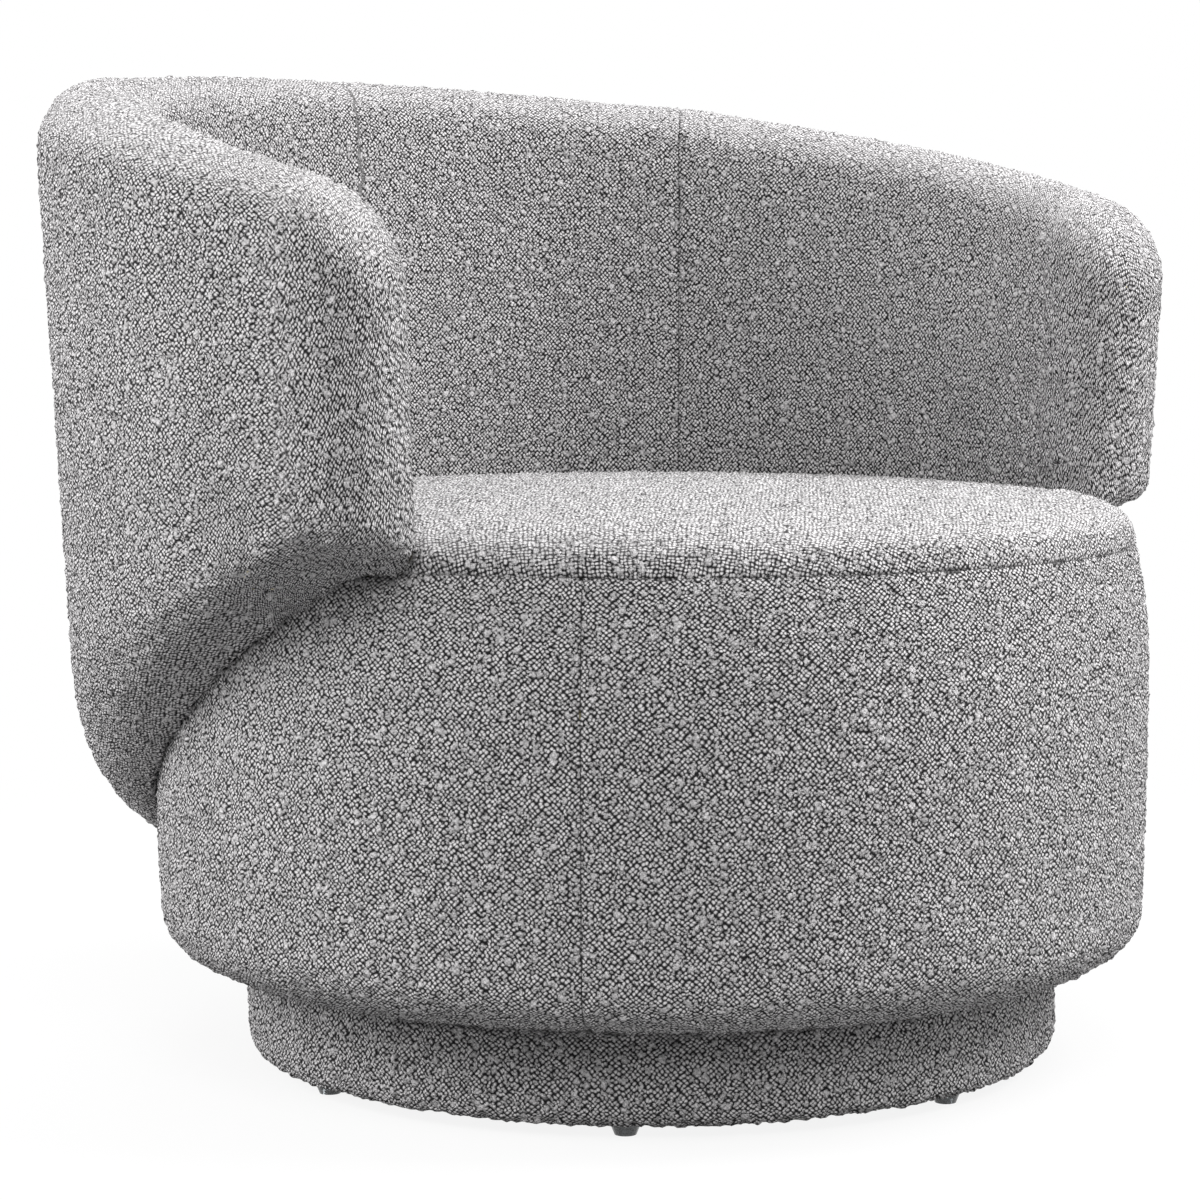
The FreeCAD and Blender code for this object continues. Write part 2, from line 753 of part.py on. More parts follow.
def crown_outline(inset):
    """The seat's crown from the seam inwards to the middle."""
    inset = as_size(inset)
    shoulder_radius = drum_seam_radius - size("crown_shoulder_inset")
    shoulder_height = size("drum_seam_height") + size("crown_shoulder_rise")
    points = [
        (drum_seam_radius - inset, size("drum_seam_height")),
        (shoulder_radius, shoulder_height - inset),
        (0, crown_height - inset),
    ]
    dome = tangent_radius(shoulder_radius, crown_height - shoulder_height)
    return points, [size("crown_shoulder_radius") - inset, dome]


def plain(points):
    return [(as_size(across).value, as_size(up).value) for across, up in points]


def band(outer, inner):
    """Closed outline between two lines of points that run the same way, each with its arcs."""
    outer_points, outer_radii = outer
    inner_points, inner_radii = inner
    points = outer_points + inner_points[::-1]
    arcs = {side: (radius, -1) for side, radius in enumerate(outer_radii)}
    first = len(outer_points)
    for side, radius in enumerate(inner_radii[::-1]):
        arcs[first + side] = (radius, 1)
    return points, arcs


def sector(start, end, reach, top):
    """A wedge round the swivel axis, between two angles measured from the rear towards +X."""
    wedge = Part.makeCylinder(reach, top, Vector(0, 0, 0), Vector(0, 0, 1), end - start)
    wedge.rotate(Vector(0, 0, 0), Vector(0, 0, 1), 90 - end)
    return wedge


def clear_of_back(label, outline, back_room):
    """A turned seat piece whose rim gives way to the back and the arms that stand on it."""
    points, arcs = outline
    arcs = {side: (as_size(radius).value, bulge) for side, (radius, bulge) in arcs.items()}
    free_piece(label, turned_shape(plain(points), arcs).cut(back_room))


def make_back_room(shape):
    """The room that the back and arms take out of the seat above its seam."""
    arm = value("arm_angle")
    low = value("drum_seam_height") - value("cover_thickness")
    reach = back_reach.value + value("cover_thickness")
    return back_body(shape, -value("fit_gap"), -arm, arm).cut(Part.makeCylinder(reach, low))


def make_drum(back_room):
    liner_inner = seat_core_radius + gap
    liner_outer = liner_inner + size("liner_thickness")
    liner = turned_shape(plain([
        (liner_inner, seat_board_base), (liner_outer, seat_board_base),
        (liner_outer, ring_top), (liner_inner, ring_top),
    ]))
    free_piece("drum_liner", liner.cut(bolt_tunnels_round()))

    inset = cover + gap
    points, radii = drum_outline(inset)
    foam_inner = liner_outer + gap
    side_points = points[:4] + [drum_side_point(ring_top, inset)]
    foam_points = side_points + [
        (foam_inner, ring_top), (foam_inner, seat_board_base - gap), (drum_hem_radius, seat_board_base - gap),
    ]
    arcs = {side: (as_size(radius).value, -1) for side, radius in enumerate(radii)}
    foam = turned_shape(plain(foam_points), arcs)
    free_piece("drum_side_foam", foam.cut(bolt_tunnels_round()))

    crown_points, crown_radii = crown_outline(inset)
    foam_base = webbing_top + gap
    rim = drum_side_point(foam_base, inset)
    seat_points = [(0, foam_base), rim] + crown_points
    seat_arcs = {1: (shoulder_arc() - inset, -1), 2: (crown_radii[0], -1), 3: (crown_radii[1], -1)}
    clear_of_back("seat_foam", (seat_points, seat_arcs), back_room)

    clear_of_back("seat_top_cover", band(crown_outline(0.0), crown_outline(cover)), back_room)

    side_points, side_arcs = band(drum_outline(0.0), drum_outline(cover))
    skin = turned_shape(plain(side_points), {
        side: (as_size(radius).value, bulge) for side, (radius, bulge) in side_arcs.items()
    })
    skin = skin.cut(bolt_tunnels_round())
    seam = 180 - value("drum_seam_angle")
    slack = math.degrees(value("fit_gap") / value("drum_radius")) / 2
    reach = back_reach.value
    top = value("back_height")
    free_piece("drum_cover_right", skin.common(sector(slack, seam - slack, reach, top)))
    free_piece("drum_cover_left", skin.common(sector(slack - seam, -slack, reach, top)))
    front = sector(seam + slack, 360 - seam - slack, reach, top)
    free_piece("drum_cover_front", skin.common(front))


# Back and arms
class BackShape:
    """The back's cross-section at each angle, drawn by the half planes that bound it and its corner radii."""

    def __init__(self):
        edge = value("back_edge_radius")
        lean = math.radians(value("outer_lean"))
        self.outer_way = (math.cos(lean), -math.sin(lean))
        corner = (back_reach.value - edge, value("back_height") - edge)
        self.outer_reach = dot(self.outer_way, corner) + edge
        lean = math.radians(value("inner_lean"))
        self.inner_way = (-math.cos(lean), math.sin(lean))
        self.inner_reach = dot(self.inner_way, (back_inner_radius.value, value("drum_seam_height")))
        slope = math.radians(value("underside_slope"))
        self.under_way = (math.sin(slope), -math.cos(slope))
        self.mid_radius = (back_reach.value + back_inner_radius.value) / 2
        self.nose_angle = value("arm_angle") - math.degrees(value("arm_nose_radius") / self.mid_radius)

    def crease(self, angle):
        """Height where the outside meets the drum: an inclined plane that levels out under the arms."""
        plane = crease_height.value - value("crease_swing") * math.cos(math.radians(angle))
        level = arm_underside_height.value
        spread = math.hypot((plane - level) / 2, value("crease_blend"))
        return (plane + level) / 2 - spread

    def top(self, angle):
        share = abs(angle) / value("arm_angle")
        return value("back_height") - value("arm_drop") * share ** value("arm_drop_power")

    def tail_radius(self, angle):
        start = value("edge_change_start")
        share = (abs(angle) - start) / (value("edge_change_end") - start)
        share = min(max(share, 0.0), 1.0)
        share = share * share * (3 - 2 * share)
        return value("tail_edge_radius") + (value("arm_edge_radius") - value("tail_edge_radius")) * share

    def outer_at(self, height, inset=0.0):
        return (self.outer_reach - inset - self.outer_way[1] * height) / self.outer_way[0]

    def inner_at(self, height, inset=0.0):
        return (self.inner_reach - inset - self.inner_way[1] * height) / self.inner_way[0]

    def nose(self, angle, inset):
        """How far the round arm front draws in the sides, the top and the underside at an angle."""
        along = math.radians(abs(angle) - self.nose_angle) * self.mid_radius
        drops = []
        for name in ("arm_nose_radius", "arm_corner_radius", "arm_edge_radius"):
            radius = value(name)
            past = max(along - value("arm_nose_radius") + radius, 0.0)
            drops.append(radius - math.sqrt(max((radius - inset) ** 2 - past**2, 0.0)))
        return drops

    def section(self, angle, inset=0.0):
        """The whole cross-section, drawn in by an inset."""
        side, top_drop, toe_rise = self.nose(angle, inset)
        drum_side = value("drum_radius")
        under = dot(self.under_way, (drum_side, self.crease(angle) + toe_rise))
        bounds = [
            (self.under_way, under),
            (self.outer_way, self.outer_reach - side),
            ((0.0, 1.0), self.top(angle) - top_drop),
            (self.inner_way, self.inner_reach - side),
        ]
        height = arm_underside_height.value
        width = self.outer_at(height, side) - self.inner_at(height, side)
        most = width * MOST_EDGE_SHARE
        edge = min(value("back_edge_radius") - inset, most)
        tail = self.tail_radius(angle) - inset
        if side > inset + LEAST_DRAW:
            tail = min(tail, most)
        return rounded_wire(angle, bounds, [tail, edge, edge, 0.0])

    def box(self, angle, inner, outer, low, high):
        """A plain four-sided section between two depths under the faces and two heights."""
        bounds = [
            ((0.0, -1.0), -low),
            (self.outer_way, self.outer_reach - outer),
            ((0.0, 1.0), high),
            (self.inner_way, self.inner_reach - inner),
        ]
        return rounded_wire(angle, bounds, [0.0] * 4)


def dot(first, second):
    return first[0] * second[0] + first[1] * second[1]


def smooth_larger(first, second):
    """The larger of two heights, with the change from one to the other rounded over."""
    return (first + second) / 2 + math.hypot((first - second) / 2, value("deck_blend"))


def meet(first, second, inset):
    """Where two half planes' edges cross, both drawn in by an inset."""
    (first_way, first_reach), (second_way, second_reach) = first, second
    first_reach -= inset
    second_reach -= inset
    area = first_way[0] * second_way[1] - first_way[1] * second_way[0]
    across = (first_reach * second_way[1] - second_reach * first_way[1]) / area
    up = (first_way[0] * second_reach - second_way[0] * first_reach) / area
    return across, up


def rounded_wire(angle, bounds, radii):
    """Closed wire at an angle round the axis: radii[k] rounds the corner between bounds k and k + 1."""
    turn_angle = math.radians(angle)

    def spot(point):
        return Vector(point[0] * math.sin(turn_angle), point[0] * math.cos(turn_angle), point[1])

    def offset(centre, way, radius):
        return (centre[0] + way[0] * radius, centre[1] + way[1] * radius)

    corners = []
    for number, radius in enumerate(radii):
        here = bounds[number]
        following = bounds[(number + 1) % len(bounds)]
        centre = meet(here, following, radius)
        middle = (here[0][0] + following[0][0], here[0][1] + following[0][1])
        length = math.hypot(*middle)
        crest = (middle[0] / length, middle[1] / length)
        corners.append([offset(centre, way, radius) for way in (here[0], crest, following[0])])
    edges = []
    for number, (start, crest, end) in enumerate(corners):
        if radii[number]:
            edges.append(Part.Arc(spot(start), spot(crest), spot(end)).toShape())
        following = corners[(number + 1) % len(corners)][0]
        edges.append(Part.LineSegment(spot(end), spot(following)).toShape())
    return Part.Wire(edges)


def stations(start, end, step=8.0):
    """Angles from start to end, about a step apart and closer at both ends, where a loft strays most."""
    count = max(3, math.ceil((end - start) / step))
    pitch = (end - start) / count
    middle = [start + pitch * number for number in range(1, count)]
    near = [start + pitch * share for share in END_STATIONS]
    far = [end - pitch * share for share in reversed(END_STATIONS)]
    return near + middle + far


def loft(wires):
    return Part.makeLoft(wires, True, False)


def back_body(shape, inset, start, end):
    """The back between two angles, drawn in by an inset; a round arm front closes it at a full arm angle."""
    nose_angle = shape.nose_angle
    limits = (max(start, -nose_angle), min(end, nose_angle))
    pieces = [loft([shape.section(angle, inset) for angle in stations(*limits)])]
    nose_reach = math.degrees((value("arm_nose_radius") - inset) / shape.mid_radius)
    for side, angle in ((-1, start), (1, end)):
        if abs(angle) > nose_angle:
            pieces.append(loft([
                shape.section(side * (nose_angle + nose_reach * share), inset) for share in ARM_FRONT_STATIONS
            ]))
    return pieces[0] if len(pieces) == 1 else pieces[0].multiFuse(pieces[1:])


def drum_clearance():
    """The room that the drum takes out of the back's pieces."""
    points, radii = drum_outline(-gap)
    shell = [(0, size("drum_bottom_height") - gap)] + points
    shell += [(drum_seam_radius + gap, size("drum_seam_height") + gap), (0, size("drum_seam_height") + gap)]
    return turned_shape(plain(shell), {side + 1: (radius.value, -1) for side, radius in enumerate(radii)})


def make_back_covers(shape, drum_room):
    thick = value("cover_thickness")
    seam = value("back_seam_angle")
    slack = math.degrees(value("fit_gap") / shape.mid_radius) / 2
    arm = value("arm_angle")
    spans = (
        ("back_cover_centre", -seam + slack, seam - slack),
        ("back_cover_right", seam + slack, arm),
        ("back_cover_left", -arm, -seam - slack),
    )
    for label, start, end in spans:
        outside = back_body(shape, 0.0, start, end)
        inside_start = start if start == -arm else start - 1
        inside_end = end if end == arm else end + 1
        inside = back_body(shape, thick, inside_start, inside_end)
        free_piece(label, outside.cut(inside).cut(drum_room))


class BackFrame:
    """Depths and heights of the frame inside the back."""

    def __init__(self, shape):
        self.shape = shape
        slack = value("fit_gap")
        skin = value("cover_thickness") + slack
        self.board = value("back_board_thickness")
        self.outer_board = skin + value("back_wadding_thickness") + slack
        self.outer_rib = self.outer_board + self.board + slack
        self.inner_board = skin + value("back_foam_thickness")
        self.inner_rib = self.inner_board + self.board + slack
        self.end_angle = shape.nose_angle - math.degrees(value("tail_lining") / shape.mid_radius)
        self.tail_inner = value("drum_radius") + slack + value("tail_lining")
        self.deck = value("drum_seam_height") + slack

    def top(self, angle):
        return self.shape.top(angle) - value("cover_thickness") - value("fit_gap") - value("back_top_foam")

    def rib_top(self, angle):
        return self.top(angle) - value("back_rail_height") - value("fit_gap")

    def rail_base(self, angle):
        return self.shape.crease(angle) + value("bottom_rail_rise")

    def rail_top(self, angle):
        return self.rail_base(angle) + value("back_rail_height")

    def shell_base(self, angle):
        """Where the outside turns from its upright face into its rounded lower edge."""
        lean = math.cos(math.radians(value("underside_slope")))
        return self.shape.crease(angle) + self.shape.tail_radius(angle) * lean + value("shell_base_rise")

    def angles(self, spare=0.0):
        return stations(-self.end_angle - spare, self.end_angle + spare)

    def outer_board_base(self, angle):
        """The outer board reaches down the tail, and stops at the deck where the arms overhang."""
        ramp = value("board_ramp") * (abs(angle) - value("tail_angle"))
        return smooth_larger(self.shell_base(angle), self.deck + value("fit_gap") - smooth_larger(0.0, -ramp))

    def inner_board_base(self, angle):
        spread = math.degrees(value("back_rib_thickness") / self.shape.mid_radius)
        foot = self.rail_top(abs(angle) + spread) + value("rib_foot_height") + 3 * value("fit_gap")
        return smooth_larger(self.deck + value("fit_gap"), foot)

    def room_base(self, angle):
        """The foam's hollow starts a little under the boards and the rail."""
        return smooth_larger(self.deck, self.rail_base(angle)) - value("foam_room_drop")


def upright_box(angle, inner, outer, low, high):
    """A section at an angle with upright sides, between two radii and two heights."""
    bounds = [((0.0, -1.0), -low), ((1.0, 0.0), outer), ((0.0, 1.0), high), ((-1.0, 0.0), -inner)]
    return rounded_wire(angle, bounds, [0.0] * 4)


def make_back_frame(shape, frame):
    free_piece("back_inner_board", loft([
        shape_between(shape, angle, frame.inner_board, frame.board, frame.inner_board_base(angle),
                      frame.top(angle), True)
        for angle in frame.angles()
    ]))
    free_piece("back_outer_board", loft([
        shape_between(shape, angle, frame.outer_board, frame.board, frame.outer_board_base(angle),
                      frame.top(angle), False)
        for angle in frame.angles()
    ]))
    free_piece("back_top_rail", loft([
        shape.box(angle, frame.inner_rib, frame.outer_rib, frame.top(angle) - value("back_rail_height"),
                  frame.top(angle))
        for angle in frame.angles()
    ]))
    free_piece("back_bottom_rail", loft([
        bottom_rail(frame, angle, 0.0, frame.rail_top(angle)) for angle in frame.angles()
    ]))


def bottom_rail(frame, angle, spare, high):
    return upright_box(
        angle, frame.tail_inner - spare, frame.tail_inner + value("bottom_rail_width") + spare,
        frame.rail_base(angle) - spare, high,
    )


def shape_between(shape, angle, depth, thick, low, high, inner):
    """Section of a thin board that follows the inner or the outer face at a depth."""
    way = shape.inner_way if inner else shape.outer_way
    reach = shape.inner_reach if inner else shape.outer_reach
    far = (-way[0], -way[1])
    near = (way, reach - depth)
    back = (far, -(reach - depth - thick))
    bounds = [((0.0, -1.0), -low), near, ((0.0, 1.0), high), back]
    if inner:
        bounds = [bounds[0], bounds[3], bounds[2], bounds[1]]
    return rounded_wire(angle, bounds, [0.0] * 4)


def rib_plate(shape, frame, angle):
    """A plywood rib: upright above the seat, with a leg that hooks down outside the drum towards the rear."""
    half = value("back_rib_thickness") / 2
    spread = math.degrees(half / shape.mid_radius)
    sides = (abs(angle) - spread, abs(angle) + spread)
    high = min(frame.rib_top(side) for side in sides)
    low = max(frame.rail_top(side) for side in sides) + value("fit_gap")
    foot = low + value("rib_foot_height")
    knee = max(frame.deck + value("fit_gap"), foot)
    face_base = max(frame.shell_base(angle), foot)

    def outside(height):
        """The outer edge, which follows the rounded lower edge inwards below the upright face."""
        bend = shape.tail_radius(angle)
        lean = math.cos(math.radians(value("underside_slope")))
        below = max(shape.crease(angle) + bend * lean - height, 0.0)
        drop = bend - math.sqrt(max(bend**2 - below**2, 0.0))
        return shape.outer_at(height, frame.outer_rib) - drop

    points = [
        (frame.tail_inner, low), (outside(low), low),
        (outside(face_base), face_base), (outside(high), high),
        (shape.inner_at(high, frame.inner_rib), high), (shape.inner_at(knee, frame.inner_rib), knee),
        (frame.tail_inner, knee),
    ]
    outline = Part.makePolygon([Vector(-half, r, z) for r, z in points + points[:1]])
    return Part.Face(outline).extrude(Vector(2 * half, 0, 0))


def make_ribs(shape, frame):
    reach = int(value("rib_reach"))
    bolted = int(value("bolted_rib_reach"))
    ribs = []
    bolts = []
    for number in range(-reach, reach + 1):
        angle = number * rib_pitch
        rib = rib_plate(shape, frame, angle)
        if abs(number) <= bolted:
            rib = rib.cut(bolt_tunnels())
            bolts.append(lag_bolts())
            bolts[-1].rotate(Vector(0, 0, 0), Vector(0, 0, 1), -angle)
        rib.rotate(Vector(0, 0, 0), Vector(0, 0, 1), -angle)
        ribs.append(rib)
    free_piece("back_ribs", Part.makeCompound(ribs))
    free_piece("back_bolts", Part.makeCompound([bolt for pair in bolts for bolt in pair.Solids]))


def lag_bolts():
    """The pair of lag bolts at one rib: heads inside the drum's post, shanks out into the rib's leg."""
    inner = seat_core_radius.value - value("seat_post_depth")
    bolts = []
    for height in (lower_bolt_height.value, upper_bolt_height.value):
        head = hex_prism(value("lag_bolt_head_radius"), value("lag_bolt_head_height"))
        head.translate(Vector(0, 0, -value("lag_bolt_head_height")))
        shank = Part.makeCylinder(
            value("lag_bolt_radius"), value("lag_bolt_length") + value("lag_bolt_head_height") / 2,
            Vector(0, 0, -value("lag_bolt_head_height") / 2),
        )
        bolt = head.fuse(shank).removeSplitter()
        bolt.rotate(Vector(0, 0, 0), Vector(1, 0, 0), -90)
        bolt.translate(Vector(0, inner, height))
        bolts.append(bolt)
    return Part.makeCompound(bolts)


def make_back_padding(shape, frame, drum_room):
    slack = value("fit_gap")
    inset = value("cover_thickness") + slack
    wadding_top = value("back_top_foam") + value("back_rail_height") / 2
    angles = frame.angles()
    free_piece("back_wadding", loft([
        shape_between(
            shape, angle, inset, value("back_wadding_thickness"), frame.shell_base(angle),
            shape.top(angle) - wadding_top, False,
        )
        for angle in angles
    ]))

    spare = math.degrees(slack / shape.mid_radius)
    room_angles = frame.angles(spare)
    edge = value("back_edge_radius")
    outside_room = loft([
        shape_between(
            shape, angle, -edge, edge + frame.outer_board, frame.shell_base(angle) - slack,
            shape.top(angle) - wadding_top + slack, False,
        )
        for angle in room_angles
    ])
    upper_room = loft([
        shape.box(
            angle, frame.inner_board - slack, frame.outer_board - slack,
            frame.room_base(angle), frame.top(angle) + slack,
        )
        for angle in room_angles
    ])
    tail = value("tail_angle")
    leg_room = loft([tail_room(shape, frame, angle) for angle in stations(-tail, tail)])
    rail_room = loft([
        bottom_rail(frame, angle, 3 * slack, frame.inner_board_base(angle) + slack) for angle in room_angles
    ])
    foam = back_body(shape, inset, -value("arm_angle"), value("arm_angle"))
    for room in (drum_room, outside_room, upper_room, leg_room, rail_room, bolt_tunnels_round()):
        foam = foam.cut(room)
    free_piece("back_foam", foam)


def tail_room(shape, frame, angle):
    """The hollow behind the drum, between the bottom rail and the deck, where the ribs' legs stand."""
    slack = value("fit_gap")
    bounds = [
        ((0.0, -1.0), slack - frame.rail_top(angle)),
        (shape.outer_way, shape.outer_reach - frame.outer_board + slack),
        ((0.0, 1.0), frame.deck + 2 * slack),
        ((-1.0, 0.0), slack - frame.tail_inner),
    ]
    return rounded_wire(angle, bounds, [0.0] * 4)


# Assembly
make_glides()
make_plinth()
make_plinth_cover()
make_swivel()
make_plate_fixings()
make_seat_frame()
make_webbing()
back_shape = BackShape()
make_drum(make_back_room(back_shape))
back_frame = BackFrame(back_shape)
drum_room = drum_clearance()
make_back_covers(back_shape, drum_room)
make_back_frame(back_shape, back_frame)
make_ribs(back_shape, back_frame)
make_back_padding(back_shape, back_frame, drum_room)
doc.recompute()

pieces = [item for item in doc.Objects if item.TypeId in ("PartDesign::Body", "Part::Feature")]
for item in doc.Objects:
    if "Invalid" in item.State or "Error" in item.State:
        raise ValueError(f"{item.Label} did not build: {item.State}")
for piece in pieces:
    if piece.Shape.isNull() or not piece.Shape.isValid() or not piece.Shape.Solids:
        raise ValueError(f"{piece.Label} has no sound solid")
for piece in pieces:
    piece.Shape.exportStep(f"parts/{piece.Label}.step")
print(f"{len(pieces)} pieces, {sum(len(piece.Shape.Solids) for piece in pieces)} solids")
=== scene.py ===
import math

import bmesh
import bpy
from mathutils import Euler, Matrix, Vector, noise
from mathutils.bvhtree import BVHTree


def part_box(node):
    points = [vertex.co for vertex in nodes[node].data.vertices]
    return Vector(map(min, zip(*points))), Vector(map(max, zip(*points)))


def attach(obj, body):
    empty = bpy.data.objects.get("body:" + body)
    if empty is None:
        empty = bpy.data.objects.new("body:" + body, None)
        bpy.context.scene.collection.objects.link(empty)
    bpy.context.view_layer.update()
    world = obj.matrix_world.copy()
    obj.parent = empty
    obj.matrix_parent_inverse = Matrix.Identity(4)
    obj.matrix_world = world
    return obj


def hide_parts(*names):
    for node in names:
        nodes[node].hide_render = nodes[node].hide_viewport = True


# A swivel tub chair in looped boucle: a round seat drum, a back that wraps round it into two arms,
# and a low plinth on button glides. Lengths are in metres, the front of the chair is towards -Y,
# and angles round the chair are measured from the rear (+Y) towards +X.

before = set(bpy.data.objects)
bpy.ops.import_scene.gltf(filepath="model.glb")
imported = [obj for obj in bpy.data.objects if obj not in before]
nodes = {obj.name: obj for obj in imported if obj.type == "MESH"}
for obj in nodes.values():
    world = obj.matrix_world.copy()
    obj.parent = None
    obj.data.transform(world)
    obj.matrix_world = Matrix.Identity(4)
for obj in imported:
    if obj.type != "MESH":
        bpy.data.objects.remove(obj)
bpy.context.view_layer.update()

# Sizes repeated from the construction
AXIS = Vector((0.0, -0.0395, 0.0))
BACK_REACH = 0.459
BACK_INNER_RADIUS = 0.3568
BACK_MIDDLE_RADIUS = 0.4079
BACK_SEAM_ANGLE = 46.0
ARM_ANGLE = 108.0
DRUM_RADIUS = 0.380
SEAM_RADIUS = 0.369
SEAM_HEIGHT = 0.396
DRUM_SEAM_ANGLE = 130.5
PLATE_ROOM_RADIUS = 0.127
PLINTH_RADIUS = 0.312
COVER_THICKNESS = 0.002
LINING_THICKNESS = 0.0008
RING_TOP = 0.363
RING_MIDDLE_RADIUS = 0.3141
STRAP_THICKNESS = 0.0014
STRAP_WIDTH = 0.058
STRAP_PITCH = 0.096
STRAP_COUNT = 6

# Skins, remeshed from the covers and from what they cover
MERGE_DISTANCE = 0.00001
VOXEL = 0.006
PLINTH_VOXEL = 0.005
SKIN_REACH = 0.0060
SKIN_FACING = 0.1
HEM_ROUNDS = 6
PADDING_PRESS = 0.003

# Cloth simulation, and how far each skin may puff out between its seams
CLOTH_PRESSURE = 4.0
CLOTH_QUALITY = 4
CLOTH_FRAMES = 20
SEAM_HOLD = 0.005
DRUM_PUFF = 0.0022
BACK_PUFF = 0.003
PLINTH_PUFF = 0.0015

# Seams: the dip beside them, how far off they are still marked, and how much finer the upright ones are
DIP_WIDTH = 0.007
DIP_DEPTH = 0.0016
SEAM_MARK_REACH = 0.05
FINE_SEAM = 1.7

# Where the weave is carried on past an edge: down the crown's, and round each arm's front, in degrees
CROWN_EDGE_RISE = 0.028
CROWN_EDGE_DRAW = 0.85
LEAST_REACH = 0.1
UNDERSIDE_NORMAL = -0.3
ARM_ROUND_START = 14.0
ARM_ROUND_END = 6.0
LEVEL_ROWS_START = 5.0
LEVEL_ROWS_SPAN = 4.0

# Fabric: its loops, its nubs, and the nap and slow waves that the mesh itself carries
LOOP_PITCH = 0.0029
ROW_PITCH = 0.0036
ROW_SQUEEZE = 0.62
NUB_PITCH = 0.0060
FIBRE_PITCH = 0.0009
NAP_PITCH = 0.0048
NAP_HEIGHT = 0.0026
NAP_SEAM_ROOM = 0.004
WAVE_PITCH = 0.03
WAVE_HEIGHT = 0.0007
# Painted top light: over this slope of the normal, upward faces get their loop gaps painted paler
PAINTED_TOP_LIGHT_SLOPE = (0.15, 0.75)

# Webbing, linings and staples
STRAP_GAP = 0.0001
STRAP_GRID = (72, 4)
STRAP_SQUARENESS = 1.8
STRAP_END = (0.008, 0.05)
LINING_RINGS = 24
LINING_SPOKES = 120
LINING_SLACK = 0.0012
LINING_RIPPLE = 9.0
STAPLE_SIZE = (0.0012, 0.0110, 0.0007)
STAPLE_ROUNDING = 0.0002
STAPLE_INSET = 0.009

# Stage
SEAT_MIDDLE = (0.0, 0.0, 0.4)
FLOOR_HALF = 14.0
FLOOR_LIT = 0.35
FLOOR_SEEN = 0.8
FLOOR_GLOW = (0.88, 1.0)
FLOOR_FADE = (0.4, 1.6)
AMBIENT = 0.16
CAMERA_PITCH = 6.16


# Making and finishing pieces
def new_piece(name, mesh):
    piece = bpy.data.objects.new(name, mesh)
    bpy.context.scene.collection.objects.link(piece)
    return piece


def piece_from(name, shape):
    mesh = bpy.data.meshes.new(name)
    shape.to_mesh(mesh)
    shape.free()
    return new_piece(name, mesh)


def copied(name, sources):
    """One piece holding copies of the named CAD nodes, their loose triangles merged."""
    shape = bmesh.new()
    for source in sources:
        shape.from_mesh(nodes[source].data)
    bmesh.ops.remove_doubles(shape, verts=shape.verts, dist=MERGE_DISTANCE)
    return piece_from(name, shape)


def settle(piece):
    """Applies the piece's modifiers to its mesh."""
    graph = bpy.context.evaluated_depsgraph_get()
    made = bpy.data.meshes.new_from_object(
        piece.evaluated_get(graph), preserve_all_data_layers=True, depsgraph=graph
    )
    piece.modifiers.clear()
    piece.data = made


def remesh(piece, size):
    """Melts the piece's parts into one even skin."""
    skin = piece.modifiers.new("skin", "REMESH")
    skin.mode = "VOXEL"
    skin.voxel_size = size
    skin.adaptivity = 0.0
    settle(piece)


def subdivide(piece, levels):
    finer = piece.modifiers.new("finer", "SUBSURF")
    finer.levels = levels
    finer.render_levels = levels
    settle(piece)


def surface_of(members):
    """Search tree over the surfaces of CAD nodes."""
    shape = bmesh.new()
    for member in members:
        shape.from_mesh(nodes[member].data)
    tree = BVHTree.FromBMesh(shape)
    shape.free()
    return tree


def keep_outer_skin(piece, members):
    """Leaves only the faces that lie on the outsides of CAD nodes."""
    tree = surface_of(members)
    shape = bmesh.new()
    shape.from_mesh(piece.data)
    shape.normal_update()
    inner = []
    for face in shape.faces:
        middle = face.calc_center_median()
        spot, normal, index, distance = tree.find_nearest(middle)
        if distance > SKIN_REACH or normal.dot(face.normal) < SKIN_FACING:
            inner.append(face)
    bmesh.ops.delete(shape, geom=inner, context="FACES")
    keep_largest(shape)
    shape.to_mesh(piece.data)
    shape.free()


def keep_largest(shape):
    """Drops the scraps that aren't joined to the largest run of faces."""
    shape.faces.ensure_lookup_table()
    left = set(shape.faces)
    islands = []
    while left:
        seed = left.pop()
        island = [seed]
        waiting = [seed]
        while waiting:
            for edge in waiting.pop().edges:
                for face in edge.link_faces:
                    if face in left:
                        left.remove(face)
                        island.append(face)
                        waiting.append(face)
        islands.append(island)
    islands.sort(key=len)
    scraps = [face for island in islands[:-1] for face in island]
    bmesh.ops.delete(shape, geom=scraps, context="FACES")
    loose = [vert for vert in shape.verts if not vert.link_faces]
    bmesh.ops.delete(shape, geom=loose, context="VERTS")


def turn_of(point):
    """Angle of a point round the swivel axis, in degrees from the rear towards +X."""
    return math.degrees(math.atan2(point.x - AXIS.x, point.y - AXIS.y))


def reach_of(point):
    """Distance of a point from the swivel axis."""
    return math.hypot(point.x - AXIS.x, point.y - AXIS.y)


